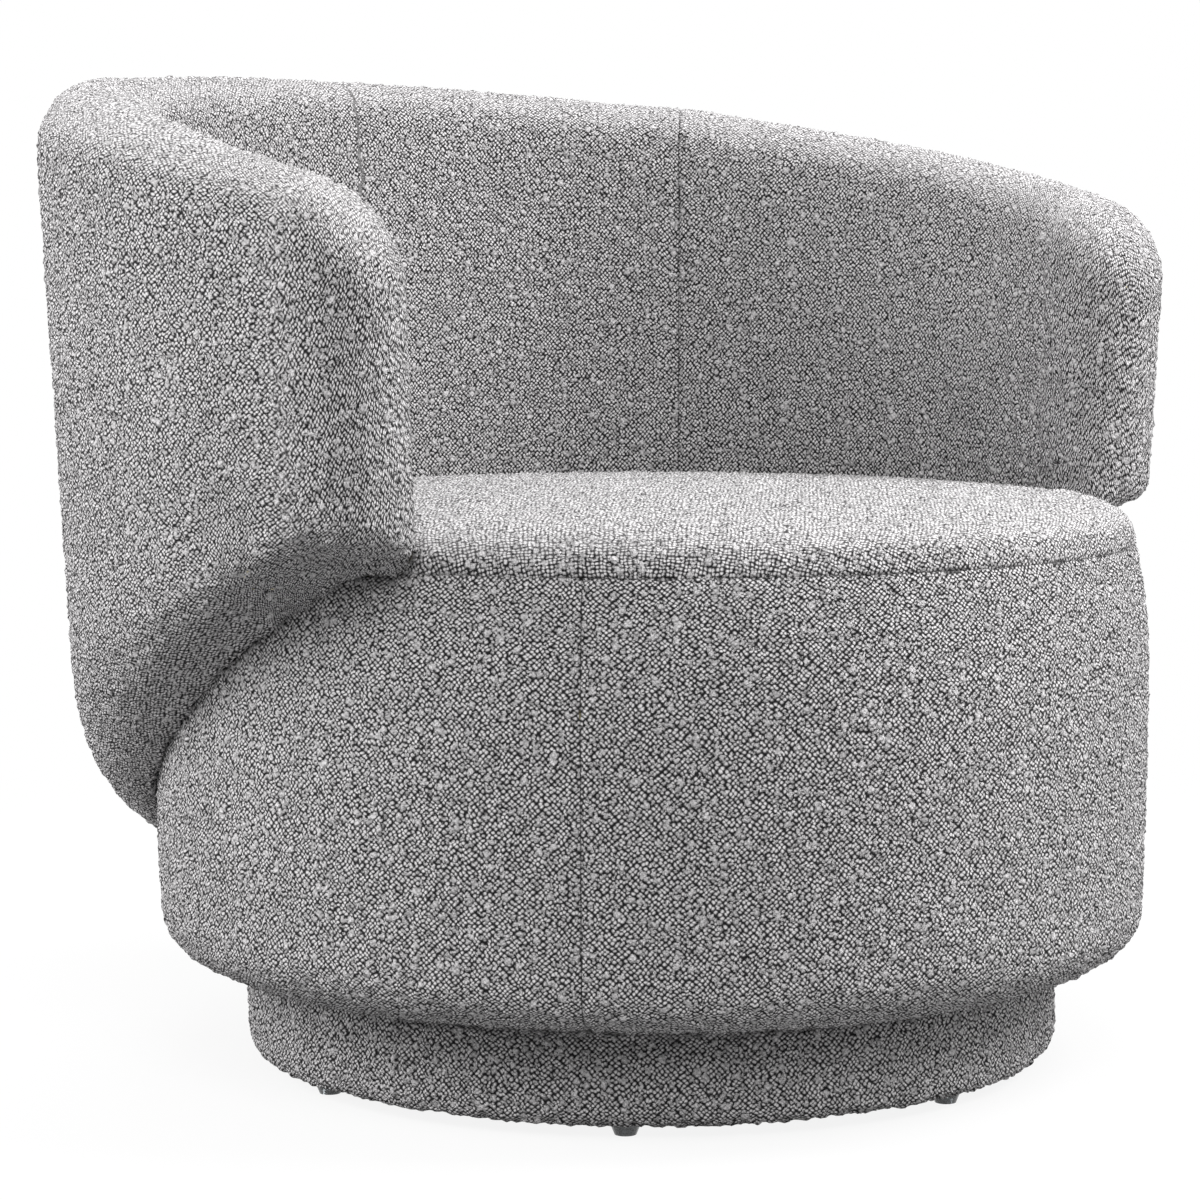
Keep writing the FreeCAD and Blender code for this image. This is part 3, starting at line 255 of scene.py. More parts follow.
def puff(piece, seam_distance, cap):
    """Blows the covers out between the seams that hold them, by no more than about the cap."""
    rest = [vert.co.copy() for vert in piece.data.vertices]
    pins = piece.vertex_groups.new(name="held")
    border = open_border(piece)
    for vert in piece.data.vertices:
        if vert.index in border or seam_distance(vert.co) < SEAM_HOLD:
            pins.add([vert.index], 1.0, "REPLACE")
    cloth = piece.modifiers.new("cloth", "CLOTH")
    cloth.settings.quality = CLOTH_QUALITY
    cloth.settings.vertex_group_mass = "held"
    cloth.settings.use_pressure = True
    cloth.settings.uniform_pressure_force = CLOTH_PRESSURE
    cloth.settings.effector_weights.gravity = 0.0
    cloth.collision_settings.use_collision = False
    cloth.collision_settings.use_self_collision = False
    cloth.point_cache.frame_start = 1
    cloth.point_cache.frame_end = CLOTH_FRAMES
    for step in range(1, CLOTH_FRAMES + 1):
        bpy.context.scene.frame_set(step)
    settle(piece)
    bpy.context.scene.frame_set(1)
    for vert, place in zip(piece.data.vertices, rest):
        moved = vert.co - place
        length = moved.length
        if length > 0.0:
            vert.co = place + moved * (cap * math.tanh(length / cap) / length)
    piece.vertex_groups.clear()


def open_border(piece):
    """Numbers of the vertices along the skin's open edges."""
    shape = bmesh.new()
    shape.from_mesh(piece.data)
    border = {vert.index for edge in shape.edges if edge.is_boundary for vert in edge.verts}
    shape.free()
    return border


def even_border(piece):
    """Smooths the stepped edge that the remesh leaves along the hem."""
    shape = bmesh.new()
    shape.from_mesh(piece.data)
    for smoothing in range(HEM_ROUNDS):
        edge = [vert for vert in shape.verts if vert.is_boundary]
        places = {}
        for vert in edge:
            beside = [e.other_vert(vert).co for e in vert.link_edges if e.is_boundary]
            if len(beside) == 2:
                places[vert] = (vert.co * 2 + beside[0] + beside[1]) / 4
        for vert, place in places.items():
            vert.co = place
    shape.to_mesh(piece.data)
    shape.free()


# Panels
def cut_round(shape, angle):
    """Cuts the skin along the upright half plane that leaves the swivel axis at an angle."""
    way = math.radians(angle)
    along = Vector((math.sin(way), math.cos(way), 0.0))
    across = Vector((math.cos(way), -math.sin(way), 0.0))
    near = [face for face in shape.faces if (face.calc_center_median() - AXIS).dot(along) > 0.0]
    edges = {edge for face in near for edge in face.edges}
    verts = {vert for face in near for vert in face.verts}
    bmesh.ops.bisect_plane(
        shape, geom=near + list(edges) + list(verts), dist=MERGE_DISTANCE, plane_co=AXIS, plane_no=across
    )


def panel(name, whole, belongs):
    """A copy of the skin that keeps only the faces of one panel."""
    shape = whole.copy()
    others = [face for face in shape.faces if not belongs(face.calc_center_median())]
    bmesh.ops.delete(shape, geom=others, context="FACES")
    return piece_from(name, shape)


def seam_dip(distance):
    """How far the cloth is drawn in beside a seam."""
    return DIP_DEPTH * max(0.0, 1.0 - distance / DIP_WIDTH) ** 2


def round_and_up(point, middle, normal, reach, spread):
    """Where a point of an upright wall lies in the weave: how far round, and how far up along the wall.
    The way up is measured outwards as well as upwards, so that the rows keep their spacing where the wall
    turns in under a foot or over a top."""
    turn = turn_of(point)
    if abs(turn_of(middle) - turn) > 180.0:
        turn += math.copysign(360.0, turn_of(middle))
    out = reach_of(point)
    if normal.z > 0.0:
        out = 2.0 * reach - out
    return math.radians(turn) * spread, point.z + out


def on_drum(point, middle, normal):
    return round_and_up(point, middle, normal, DRUM_RADIUS, DRUM_RADIUS)


def on_plinth(point, middle, normal):
    return round_and_up(point, middle, normal, PLINTH_RADIUS, PLINTH_RADIUS)


def on_crown(point, middle, normal):
    """The seat's cloth is laid straight across, and goes on down the crown's edge to its seam."""
    drawn = CROWN_EDGE_DRAW * max(0.0, SEAM_HEIGHT + CROWN_EDGE_RISE - point.z)
    stretch = 1.0 + drawn / max(reach_of(point), LEAST_REACH)
    return (point.x - AXIS.x) * stretch, (point.y - AXIS.y) * stretch


def on_back(point, middle, normal):
    """The back's outside and inside are measured as walls. Both go on round the arm's front, where the way
    round is measured inwards as well, and they meet at its tip."""
    outside = reach_of(middle) > BACK_MIDDLE_RADIUS or normal.z < UNDERSIDE_NORMAL
    turn = turn_of(point)
    side = math.copysign(1.0, turn)
    near_front = soft_step(abs(turn), ARM_ANGLE - ARM_ROUND_START, ARM_ANGLE - ARM_ROUND_END)
    if outside:
        across, up = round_and_up(point, middle, normal, BACK_REACH, BACK_MIDDLE_RADIUS)
        drawn = (BACK_REACH - reach_of(point)) * near_front
        return across + side * drawn, up
    drawn = (BACK_INNER_RADIUS - reach_of(point)) * near_front
    across = 2.0 * math.radians(ARM_ANGLE) - math.radians(abs(turn))
    width = BACK_REACH - BACK_INNER_RADIUS
    return side * (across * BACK_MIDDLE_RADIUS + drawn + width), point.z + reach_of(point)


def soft_step(value, low, high):
    """Rises smoothly from 0 at low to 1 at high."""
    share = max(0.0, min(1.0, (value - low) / (high - low)))
    return share * share * (3.0 - 2.0 * share)


def dress(piece, seam_distance, laid, turned):
    """Draws the cloth in at its seams, and gives the panel its weave map and the marks its cloth reads:
    how near a seam is, how much painted top light its upward faces get, and how far the threads run level."""
    shape = bmesh.new()
    shape.from_mesh(piece.data)
    shape.normal_update()
    seam = shape.verts.layers.float.new("seam")
    painted_top_light = shape.verts.layers.float.new("painted_top_light")
    level = shape.verts.layers.float.new("level")
    weave = shape.loops.layers.uv.new("weave")
    for vert in shape.verts:
        vert[seam] = min(seam_distance(vert.co), SEAM_MARK_REACH)
        # Painted top light: the more a face points up, the paler its gaps are painted
        vert[painted_top_light] = soft_step(vert.normal.z, *PAINTED_TOP_LIGHT_SLOPE)
        vert[level] = turned(vert.co)
    for face in shape.faces:
        middle = face.calc_center_median()
        for loop in face.loops:
            loop[weave].uv = laid(loop.vert.co, middle, face.normal)
    for vert in shape.verts:
        nap = noise.noise(vert.co / NAP_PITCH) * NAP_HEIGHT + noise.noise(vert.co / WAVE_PITCH) * WAVE_HEIGHT
        vert.co += vert.normal * (nap * min(1.0, vert[seam] / NAP_SEAM_ROOM) - seam_dip(vert[seam]))
    for face in shape.faces:
        face.smooth = True
    shape.to_mesh(piece.data)
    shape.free()
    wall = piece.modifiers.new("cloth thickness", "SOLIDIFY")
    wall.thickness = COVER_THICKNESS
    wall.offset = -1.0


# Materials
def paint(code):
    """A colour written as sRGB hex, as linear light."""
    parts = [int(code[place:place + 2], 16) / 255.0 for place in (1, 3, 5)]
    return [p / 12.92 if p <= 0.04045 else ((p + 0.055) / 1.055) ** 2.4 for p in parts] + [1.0]


def add(tree, kind, settings=None, feeds=None):
    """Adds a node with its settings, and feeds its sockets with values or with other nodes' outputs."""
    node = tree.nodes.new("ShaderNode" + kind)
    for key, setting in (settings or {}).items():
        setattr(node, key, setting)
    for key, feed in (feeds or {}).items():
        if isinstance(feed, bpy.types.NodeSocket):
            tree.links.new(feed, node.inputs[key])
        else:
            node.inputs[key].default_value = feed
    return node


def new_material(name):
    material = bpy.data.materials.new(name)
    material.use_nodes = True
    tree = material.node_tree
    tree.nodes.clear()
    return material, tree


def finish_material(tree, shader):
    add(tree, "OutputMaterial", feeds={"Surface": shader.outputs[0]})


def step_between(tree, source, low, high):
    """A soft step of a value from 0 at low to 1 at high."""
    return add(
        tree, "MapRange", {"interpolation_type": "SMOOTHSTEP"},
        {"Value": source, "From Min": low, "From Max": high, "To Min": 0.0, "To Max": 1.0},
    ).outputs["Result"]


def math_node(tree, operation, first, second=0.0):
    return add(tree, "Math", {"operation": operation}, {0: first, 1: second}).outputs[0]


def scaled(tree, value, factor, more):
    """A value times a factor, and more added to it."""
    return add(tree, "Math", {"operation": "MULTIPLY_ADD"}, {0: value, 1: factor, 2: more}).outputs[0]


def ranged(tree, value, low, high, from_low=0.0, from_high=1.0):
    """A value's range laid out anew, from low to high."""
    return add(tree, "MapRange", feeds={
        "Value": value, "From Min": from_low, "From Max": from_high, "To Min": low, "To Max": high,
    }).outputs["Result"]


def blended(tree, share, first, second):
    """A value between two others, by its share of the second."""
    return add(tree, "Mix", {"data_type": "FLOAT"}, {0: share, 2: first, 3: second}).outputs[0]


def tinted(tree, share, first, second):
    """A colour between two others, by its share of the second."""
    return add(tree, "Mix", {"data_type": "RGBA"}, {0: share, 6: first, 7: second}).outputs[2]


def place_on(tree):
    """The piece's own coordinates."""
    return add(tree, "TexCoord").outputs["Object"]


def mottled(tree, place, pitch, detail=2.0, **more):
    """Soft noise of about that pitch."""
    return add(tree, "TexNoise", feeds={
        "Vector": place, "Scale": 1 / pitch, "Detail": detail, **more,
    }).outputs["Fac"]


def raised(tree, height, strength, distance):
    return add(tree, "Bump", feeds={"Strength": strength, "Distance": distance, "Height": height}).outputs[0]


def finish_shader(tree, colour, roughness, **more):
    """The surface that most finishes end in. Other sockets are named with underscores between their words."""
    feeds = {key.replace("_", " "): feed for key, feed in more.items()}
    finish_material(tree, add(tree, "BsdfPrincipled", feeds={
        "Base Color": colour, "Roughness": roughness, **feeds,
    }))


def seen_rays(tree):
    """1 for rays that show the surround itself, to the camera or through something glossy or clear."""
    path = add(tree, "LightPath")
    seen = math_node(tree, "MAXIMUM", path.outputs["Is Camera Ray"], path.outputs["Is Glossy Ray"])
    return math_node(tree, "MAXIMUM", seen, path.outputs["Is Transmission Ray"])


def looped_boucle():
    """Boucle: slanting rows of small matt loops with near-black gaps between them, the gaps' dark being
    painted shade, and larger nubs of curled yarn that stand proud of the rows, each ringed by painted shadow.
    Tops are painted paler, as painted top light where light would fill the gaps there."""
    material, tree = new_material("looped_boucle")
    weave = add(tree, "UVMap", {"uv_map": "weave"}).outputs["UV"]
    place = place_on(tree)

    def strayed(source, size, reach):
        """The source, pulled about by as much as reach over waves of that size."""
        waves = add(tree, "TexNoise", feeds={
            "Vector": place, "Scale": 1 / size, "Detail": 2.0,
        }).outputs["Color"]
        centred = add(tree, "VectorMath", {"operation": "SUBTRACT"}, {
            0: waves, 1: (0.5, 0.5, 0.5),
        }).outputs[0]
        return add(tree, "VectorMath", {"operation": "MULTIPLY_ADD"}, {
            0: centred, 1: (reach, reach, reach), 2: source,
        }).outputs[0]

    pulled = strayed(strayed(weave, 0.018, 0.0050), 0.0040, 0.0012)

    def loops(pitch, squeeze):
        """Distance from the middle of the nearest loop, the loops lying corner to corner in slanting rows."""
        laid = add(tree, "Mapping", feeds={
            "Vector": pulled, "Rotation": (0.0, 0.0, math.radians(45.0)),
            "Scale": (1 / (pitch * squeeze), 1 / pitch, 1.0),
        }).outputs[0]
        return add(tree, "TexVoronoi", {"voronoi_dimensions": "2D", "feature": "F1"}, {
            "Vector": laid, "Scale": 1.0, "Randomness": 0.40,
        }).outputs["Distance"]

    level = add(tree, "Attribute", {"attribute_name": "level"}).outputs["Fac"]
    rows = blended(tree, level, loops(LOOP_PITCH, 1.0), loops(ROW_PITCH, ROW_SQUEEZE))
    fibre = mottled(tree, place, FIBRE_PITCH)
    frayed = scaled(tree, fibre, 0.22, math_node(tree, "SUBTRACT", rows, 0.11))
    # crest is 1 on the loops and 0 in the gaps between them, where the ramp below paints shade
    crest = math_node(tree, "SUBTRACT", 1.0, step_between(tree, frayed, 0.20, 0.66))

    spots = add(tree, "TexVoronoi", feeds={"Vector": strayed(place, 0.0030, 0.0045), "Scale": 1 / NUB_PITCH})
    chance = add(tree, "SeparateColor", feeds={"Color": spots.outputs["Color"]}).outputs[0]
    spread = ranged(tree, chance, 0.14, 0.56)
    inside = math_node(tree, "SUBTRACT", spread, spots.outputs["Distance"])
    nub = step_between(tree, inside, -0.03, 0.07)
    dome = step_between(tree, inside, -0.05, 0.34)
    # Painted shadow: a ring round the foot of each nub, where the loops are painted darker below
    foot = math_node(tree, "SUBTRACT", step_between(tree, inside, -0.20, -0.02), nub)

    # Painted top light: on upward faces the dark gaps between the loops are painted paler, as if light filled
    # them
    painted_top_light = add(tree, "Attribute", {"attribute_name": "painted_top_light"}).outputs["Fac"]
    painted_top_lit_loops = scaled(tree, crest, ranged(tree, painted_top_light, 0.92, 0.62), math_node(tree, "MULTIPLY", painted_top_light, 0.34))
    shaded = scaled(tree, foot, -0.22, painted_top_lit_loops)
    curl = scaled(tree, painted_top_lit_loops, 0.30, 0.62)
    tone = blended(tree, nub, shaded, curl)
    grain = scaled(tree, fibre, 0.30, math_node(tree, "SUBTRACT", tone, 0.15))

    # The ramp's near-black low end is painted shade in the gaps between the loops; its pale end is the loops'
    # own light grey
    colour = add(tree, "ValToRGB", feeds={"Fac": grain})
    stops = colour.color_ramp.elements
    stops[0].position = 0.05
    stops[0].color = paint("#0e0d10")
    stops[1].position = 0.95
    stops[1].color = paint("#e2e0e1")
    half = stops.new(0.42)
    half.color = paint("#7e7c7d")

    seam = add(tree, "Attribute", {"attribute_name": "seam"}).outputs["Fac"]
    open_cloth = step_between(tree, seam, -0.0006, 0.0011)
    stitched = tinted(tree, open_cloth, paint("#2c2b2d"), colour.outputs["Color"])
    looped = raised(tree, grain, 1.0, 0.0017)
    relief = add(tree, "Bump", feeds={
        "Strength": 0.9, "Distance": 0.0022, "Height": dome, "Normal": looped,
    }).outputs[0]
    finish_shader(
        tree, stitched, 0.95, Specular_IOR_Level=0.2, Normal=relief, Sheen_Weight=0.1, Sheen_Roughness=0.6
    )
    return material


def cell_foam():
    """Open-cell foam: matt, finely pitted."""
    material, tree = new_material("cut_foam")
    cells = add(tree, "TexVoronoi", {"feature": "F1"}, {
        "Vector": place_on(tree), "Scale": 1 / 0.0025,
    }).outputs["Distance"]
    shade = tinted(tree, cells, paint("#e4dcbd"), paint("#b9ad84"))
    finish_shader(tree, shade, 0.95, Normal=raised(tree, cells, 0.5, 0.0008))
    return material


def fluffy_wadding():
    """Polyester wadding: white, loose fibres with a soft sheen."""
    material, tree = new_material("polyester_wadding")
    strands = mottled(tree, place_on(tree), 0.004, 6.0, Distortion=1.5)
    shade = tinted(tree, strands, paint("#c9c8c4"), paint("#f2f1ee"))
    finish_shader(tree, shade, 0.9, Sheen_Weight=0.3, Normal=raised(tree, strands, 0.6, 0.0012))
    return material


def grained_wood(name, pale, dark, grain_pitch):
    """Raw wood: fine grain stretched along the board, matt."""
    material, tree = new_material(name)
    laid = add(tree, "Mapping", feeds={
        "Vector": place_on(tree), "Scale": (1 / grain_pitch, 0.09 / grain_pitch, 1 / grain_pitch),
    }).outputs[0]
    grain = mottled(tree, laid, 1.0, 6.0, Roughness=0.6)
    shade = tinted(tree, step_between(tree, grain, 0.3, 0.7), paint(dark), paint(pale))
    finish_shader(tree, shade, 0.7, Normal=raised(tree, grain, 0.3, 0.0004))
    return material


def pressed_fibreboard():
    """Hardboard: brown pressed fibres, smooth and matt."""
    material, tree = new_material("pressed_fibreboard")
    fibres = mottled(tree, place_on(tree), 0.003, 4.0)
    finish_shader(tree, tinted(tree, fibres, paint("#5b4028"), paint("#8a6a48")), 0.6)
    return material


def plated_steel(name, code, rough):
    """Plated steel: satin, faintly mottled by the plating."""
    material, tree = new_material(name)
    mottle = mottled(tree, place_on(tree), 0.006, 3.0)
    finish_shader(tree, paint(code), ranged(tree, mottle, rough * 0.8, rough * 1.25, 0.3, 0.7), Metallic=1.0)
    return material


def moulded_nylon():
    """Natural nylon: milky and satin, as moulded."""
    material, tree = new_material("moulded_nylon")
    cloudy = mottled(tree, place_on(tree), 0.01)
    finish_shader(tree, tinted(tree, cloudy, paint("#dcd9cc"), paint("#ece9df")), 0.4, IOR=1.53)
    return material


def smoky_polycarbonate():
    """Clear polycarbonate with a smoky tint: glossy, with small scuffs from the floor."""
    material, tree = new_material("smoky_polycarbonate")
    roughness = ranged(tree, mottled(tree, place_on(tree), 0.0012), 0.06, 0.3, 0.4, 0.8)
    finish_shader(tree, paint("#8f9396"), roughness, IOR=1.58, Transmission_Weight=0.75)
    return material


def felted_cloth():
    """Black non-woven lining: pressed fibres, matt."""
    material, tree = new_material("felted_lining")
    fibres = mottled(tree, place_on(tree), 0.0015, 4.0)
    shade = tinted(tree, fibres, paint("#111112"), paint("#2b2b2d"))
    finish_shader(tree, shade, 0.9, Normal=raised(tree, fibres, 0.5, 0.0003))
    return material


def elastic_webbing():
    """Elastic webbing: close black ribs."""
    material, tree = new_material("elastic_webbing")
    ribs = add(tree, "TexWave", {"bands_direction": "DIAGONAL"}, {
        "Vector": place_on(tree), "Scale": 1 / 0.012, "Distortion": 0.5,
    }).outputs["Fac"]
    shade = tinted(tree, ribs, paint("#17171a"), paint("#3a3a3f"))
    finish_shader(tree, shade, 0.85, Normal=raised(tree, ribs, 0.6, 0.0005))
    return material


boucle = looped_boucle()
foam = cell_foam()
wadding = fluffy_wadding()
plywood = grained_wood("birch_plywood", "#c9a877", "#a98452", 0.004)
pine = grained_wood("raw_pine", "#d3b384", "#b38a55", 0.006)
fibreboard = pressed_fibreboard()
zinc = plated_steel("zinc_plated_steel", "#b9bbbd", 0.35)
bearing_steel = plated_steel("polished_bearing_steel", "#d9dadc", 0.12)
nylon = moulded_nylon()
polycarbonate = smoky_polycarbonate()
lining = felted_cloth()
elastic = elastic_webbing()

CAD_FINISHES = {
    plywood: ["plinth_bottom_board", "plinth_top_board", "seat_base_board", "seat_top_ring", "back_ribs",
              "back_top_rail", "back_bottom_rail"],
    pine: ["plinth_blocks", "seat_posts"],
    fibreboard: ["plinth_wall", "back_inner_board", "back_outer_board", "drum_liner"],
    zinc: ["glide_nails", "swivel_lower_plate", "swivel_upper_plate", "swivel_rivet", "lower_plate_screws",
           "upper_plate_bolts", "upper_plate_nuts", "back_bolts"],
    bearing_steel: ["bearing_balls"],
    nylon: ["ball_cage"],
    polycarbonate: ["glides"],
}
for finish, members in CAD_FINISHES.items():
    for member in members:
        nodes[member].data.materials.clear()
        nodes[member].data.materials.append(finish)


# Camera, at the photograph's place and angle
camera_data = bpy.data.cameras.new("camera")
camera_data.lens = 100.8
camera_data.sensor_width = 36.0
camera_data.shift_x = -0.043
camera_data.shift_y = 0.0493
camera = bpy.data.objects.new("camera", camera_data)
bpy.context.scene.collection.objects.link(camera)
camera.location = (-1.740, -1.9515, 0.5814)
aim = Vector((AXIS.x - camera.location.x, AXIS.y - camera.location.y, 0.0))
camera.rotation_euler = Euler((
    math.pi / 2 - math.radians(CAMERA_PITCH), 0.0, -math.atan2(aim.x, aim.y),
))
bpy.context.scene.camera = camera


# Seat drum and crown, made as one skin and cut at the seams
DRUM_COVERS = ["drum_cover_front", "drum_cover_left", "drum_cover_right", "seat_top_cover"]
drum = copied("drum_skin", DRUM_COVERS + [
    "drum_side_foam", "seat_foam", "drum_liner", "seat_base_board", "seat_top_ring", "seat_posts",
    "seat_dust_cloth",
])
remesh(drum, VOXEL)
keep_outer_skin(drum, DRUM_COVERS + ["seat_foam", "drum_side_foam"])
even_border(drum)


def drum_seam_distance(point):
    """How far a point of the drum is from its nearest upright seam or from the seat's seam."""
    turn = turn_of(point)
    reach = reach_of(point)
    upright = min(
        abs(math.radians(abs(turn) - DRUM_SEAM_ANGLE)) * reach,
        abs(math.radians(turn)) * reach,
    )
    ring = math.hypot(reach - SEAM_RADIUS, point.z - SEAM_HEIGHT)
    return min(upright * FINE_SEAM, ring) if point.z < SEAM_HEIGHT + 0.0005 else ring


def crown_seam_distance(point):
    """How far a point of the crown is from the seam round it."""
    return math.hypot(reach_of(point) - SEAM_RADIUS, point.z - SEAM_HEIGHT)


puff(drum, drum_seam_distance, DRUM_PUFF)
subdivide(drum, 1)
whole = bmesh.new()
whole.from_mesh(drum.data)
bpy.data.objects.remove(drum)
bmesh.ops.bisect_plane(
    whole, geom=whole.verts[:] + whole.edges[:] + whole.faces[:], dist=MERGE_DISTANCE,
    plane_co=(0.0, 0.0, SEAM_HEIGHT), plane_no=(0.0, 0.0, 1.0),
)
for seam_angle in (-DRUM_SEAM_ANGLE, 0.0, DRUM_SEAM_ANGLE):
    cut_round(whole, seam_angle)


def slanting(point):
    """The threads run aslant on the drum, the crown and the plinth."""
    return 0.0


drum_panels = {
    "drum_panel_front": lambda middle: abs(turn_of(middle)) > DRUM_SEAM_ANGLE,
    "drum_panel_right": lambda middle: 0.0 < turn_of(middle) <= DRUM_SEAM_ANGLE,
    "drum_panel_left": lambda middle: -DRUM_SEAM_ANGLE <= turn_of(middle) <= 0.0,
}
covers = {}
for name, belongs in drum_panels.items():
    piece = panel(name, whole, lambda middle: middle.z < SEAM_HEIGHT and belongs(middle))
    dress(piece, drum_seam_distance, on_drum, slanting)
    covers[name] = piece
crown = panel("seat_crown", whole, lambda middle: middle.z >= SEAM_HEIGHT)
dress(crown, crown_seam_distance, on_crown, slanting)
whole.free()
for name, replaced in (
    ("drum_panel_front", "drum_cover_front"),
    ("drum_panel_left", "drum_cover_left"),
    ("drum_panel_right", "drum_cover_right"),
):
    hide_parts(replaced)
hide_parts("seat_top_cover")


# Back and arms, made as one skin and cut at the two upright seams
BACK_COVERS = ["back_cover_centre", "back_cover_left", "back_cover_right"]
back = copied("back_skin", BACK_COVERS + [
    "back_foam", "back_wadding", "back_inner_board", "back_outer_board", "back_ribs", "back_top_rail",
    "back_bottom_rail",
])
remesh(back, VOXEL)
keep_outer_skin(back, BACK_COVERS + ["back_foam", "back_wadding"])
even_border(back)


def back_seam_distance(point):
    """How far a point of the back is from its nearest upright seam. Both upright distances are stretched, so
    that these seams mark less than the seat's."""
    return abs(math.radians(abs(turn_of(point)) - BACK_SEAM_ANGLE)) * reach_of(point) * FINE_SEAM


puff(back, back_seam_distance, BACK_PUFF)
subdivide(back, 1)
whole = bmesh.new()
whole.from_mesh(back.data)
bpy.data.objects.remove(back)
for seam_angle in (-BACK_SEAM_ANGLE, BACK_SEAM_ANGLE):
    cut_round(whole, seam_angle)


def arm_front(point):
    """The threads run level round the front of each arm."""
    past = abs(turn_of(point)) - ARM_ANGLE + LEVEL_ROWS_START
    return max(0.0, min(1.0, past / LEVEL_ROWS_SPAN))


back_panels = {
    "back_panel_centre": lambda middle: abs(turn_of(middle)) <= BACK_SEAM_ANGLE,
    "back_panel_right": lambda middle: turn_of(middle) > BACK_SEAM_ANGLE,
    "back_panel_left": lambda middle: turn_of(middle) < -BACK_SEAM_ANGLE,
}
for name, belongs in back_panels.items():
    piece = panel(name, whole, belongs)
    dress(piece, back_seam_distance, on_back, arm_front)
    covers[name] = piece
whole.free()
for name, replaced in (
    ("back_panel_centre", "back_cover_centre"),
    ("back_panel_left", "back_cover_left"),
    ("back_panel_right", "back_cover_right"),
):
    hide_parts(replaced)


# Plinth's covering
plinth = copied("plinth_band", [
    "plinth_cover", "plinth_wadding", "plinth_wall", "plinth_bottom_board", "plinth_top_board",
    "plinth_blocks", "plinth_dust_cloth",
])
remesh(plinth, PLINTH_VOXEL)
keep_outer_skin(plinth, ["plinth_cover"])
even_border(plinth)


def plinth_seam_distance(point):
    """The plinth's band is joined at the rear."""
    return abs(math.radians(turn_of(point))) * reach_of(point)


puff(plinth, plinth_seam_distance, PLINTH_PUFF)
subdivide(plinth, 1)
dress(plinth, plinth_seam_distance, on_plinth, slanting)
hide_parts("plinth_cover")
covers["plinth_band"] = plinth
covers["seat_crown"] = crown

for name, piece in covers.items():
    piece.data.materials.append(boucle)
    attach(piece, "base" if name == "plinth_band" else "seat")


# Foam and wadding under the covers
def padding(name, sources, size, body, finish):
    """A pad in place of CAD nodes, pressed in a little so that it stays under its cover."""
    piece = copied(name, sources)
    remesh(piece, size)
    shape = bmesh.new()
    shape.from_mesh(piece.data)
    shape.normal_update()
    for vert in shape.verts:
        vert.co -= vert.normal * PADDING_PRESS
    for face in shape.faces:
        face.smooth = True
    shape.to_mesh(piece.data)
    shape.free()
    piece.data.materials.append(finish)
    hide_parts(*sources)
    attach(piece, body)


padding("back_padding", ["back_foam", "back_wadding"], 0.007, "seat", foam)
padding("drum_side_padding", ["drum_side_foam"], 0.008, "seat", foam)
padding("seat_padding", ["seat_foam"], 0.008, "seat", foam)
padding("plinth_padding", ["plinth_wadding"], 0.004, "base", wadding)


# Webbing under the seat foam
def strap(shape, number, lengthwise):
    """One strap laid across the ring, passing over and under the straps that cross it in turn."""
    offset = (number - (STRAP_COUNT - 1) / 2) * STRAP_PITCH
    half = math.sqrt(RING_MIDDLE_RADIUS**2 - offset**2)
    rows, files = STRAP_GRID
    for vert in bmesh.ops.create_grid(shape, x_segments=rows, y_segments=files, size=1.0)["verts"]:
        along = vert.co.x * half
        crossing = along / STRAP_PITCH + (STRAP_COUNT - 1) / 2
        wave = math.cos(math.pi * (crossing + number + lengthwise))
        lift = 0.5 + 0.5 * max(-1.0, min(1.0, wave * STRAP_SQUARENESS))
        off_ring = soft_step(half - abs(along), *STRAP_END)
        height = STRAP_THICKNESS + (STRAP_THICKNESS + STRAP_GAP) * lift * off_ring
        across = offset + vert.co.y * STRAP_WIDTH / 2
        flat = (across, along) if lengthwise else (along, across)
        vert.co = Vector((AXIS.x + flat[0], AXIS.y + flat[1], RING_TOP + height))


for name, replaced, lengthwise in (
    ("webbing_straps_lengthwise", "webbing_lengthwise", 1),
    ("webbing_straps_crosswise", "webbing_crosswise", 0),
):
    straps = bmesh.new()
    for number in range(STRAP_COUNT):
        strap(straps, number, lengthwise)
    bmesh.ops.recalc_face_normals(straps, faces=straps.faces)
    for face in straps.faces:
        if face.normal.z < 0.0:
            face.normal_flip()
        face.smooth = True
    piece = piece_from(name, straps)
    wall = piece.modifiers.new("strap thickness", "SOLIDIFY")
    wall.thickness = STRAP_THICKNESS
    wall.offset = -1.0
    piece.data.materials.append(elastic)
    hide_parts(replaced)
    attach(piece, "seat")


# Black linings stapled under the plinth and under the seat
def lining_sheet(name, replaced, inner, outer, top, body):
    """A round of lining, or a ring of it, that hangs with a little slack under its board."""
    shape = bmesh.new()
    row = [
        shape.verts.new((AXIS.x + inner + (outer - inner) * step / LINING_RINGS, AXIS.y, top))
        for step in range(LINING_RINGS + 1)
    ]
    rails = [shape.edges.new(pair) for pair in zip(row, row[1:])]
    bmesh.ops.spin(
        shape, geom=row + rails, cent=AXIS, axis=(0.0, 0.0, 1.0), angle=2 * math.pi,
        steps=LINING_SPOKES, use_merge=True,
    )
    bmesh.ops.remove_doubles(shape, verts=shape.verts, dist=MERGE_DISTANCE)
    bmesh.ops.recalc_face_normals(shape, faces=shape.faces)
    for vert in shape.verts:
        share = (reach_of(vert.co) - inner) / (outer - inner)
        slack = math.sin(math.pi * max(0.0, min(1.0, share))) if inner > 0.0 else 1.0 - share
        ripple = 0.5 + noise.noise(Vector((turn_of(vert.co) / LINING_RIPPLE, share * 2.0, 0.0)))
        vert.co.z -= slack * ripple * LINING_SLACK
    for face in shape.faces:
        if face.normal.z > 0.0:
            face.normal_flip()
        face.smooth = True
    piece = piece_from(name, shape)
    wall = piece.modifiers.new("cloth thickness", "SOLIDIFY")
    wall.thickness = LINING_THICKNESS
    wall.offset = -1.0
    piece.data.materials.append(lining)
    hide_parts(replaced)
    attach(piece, body)


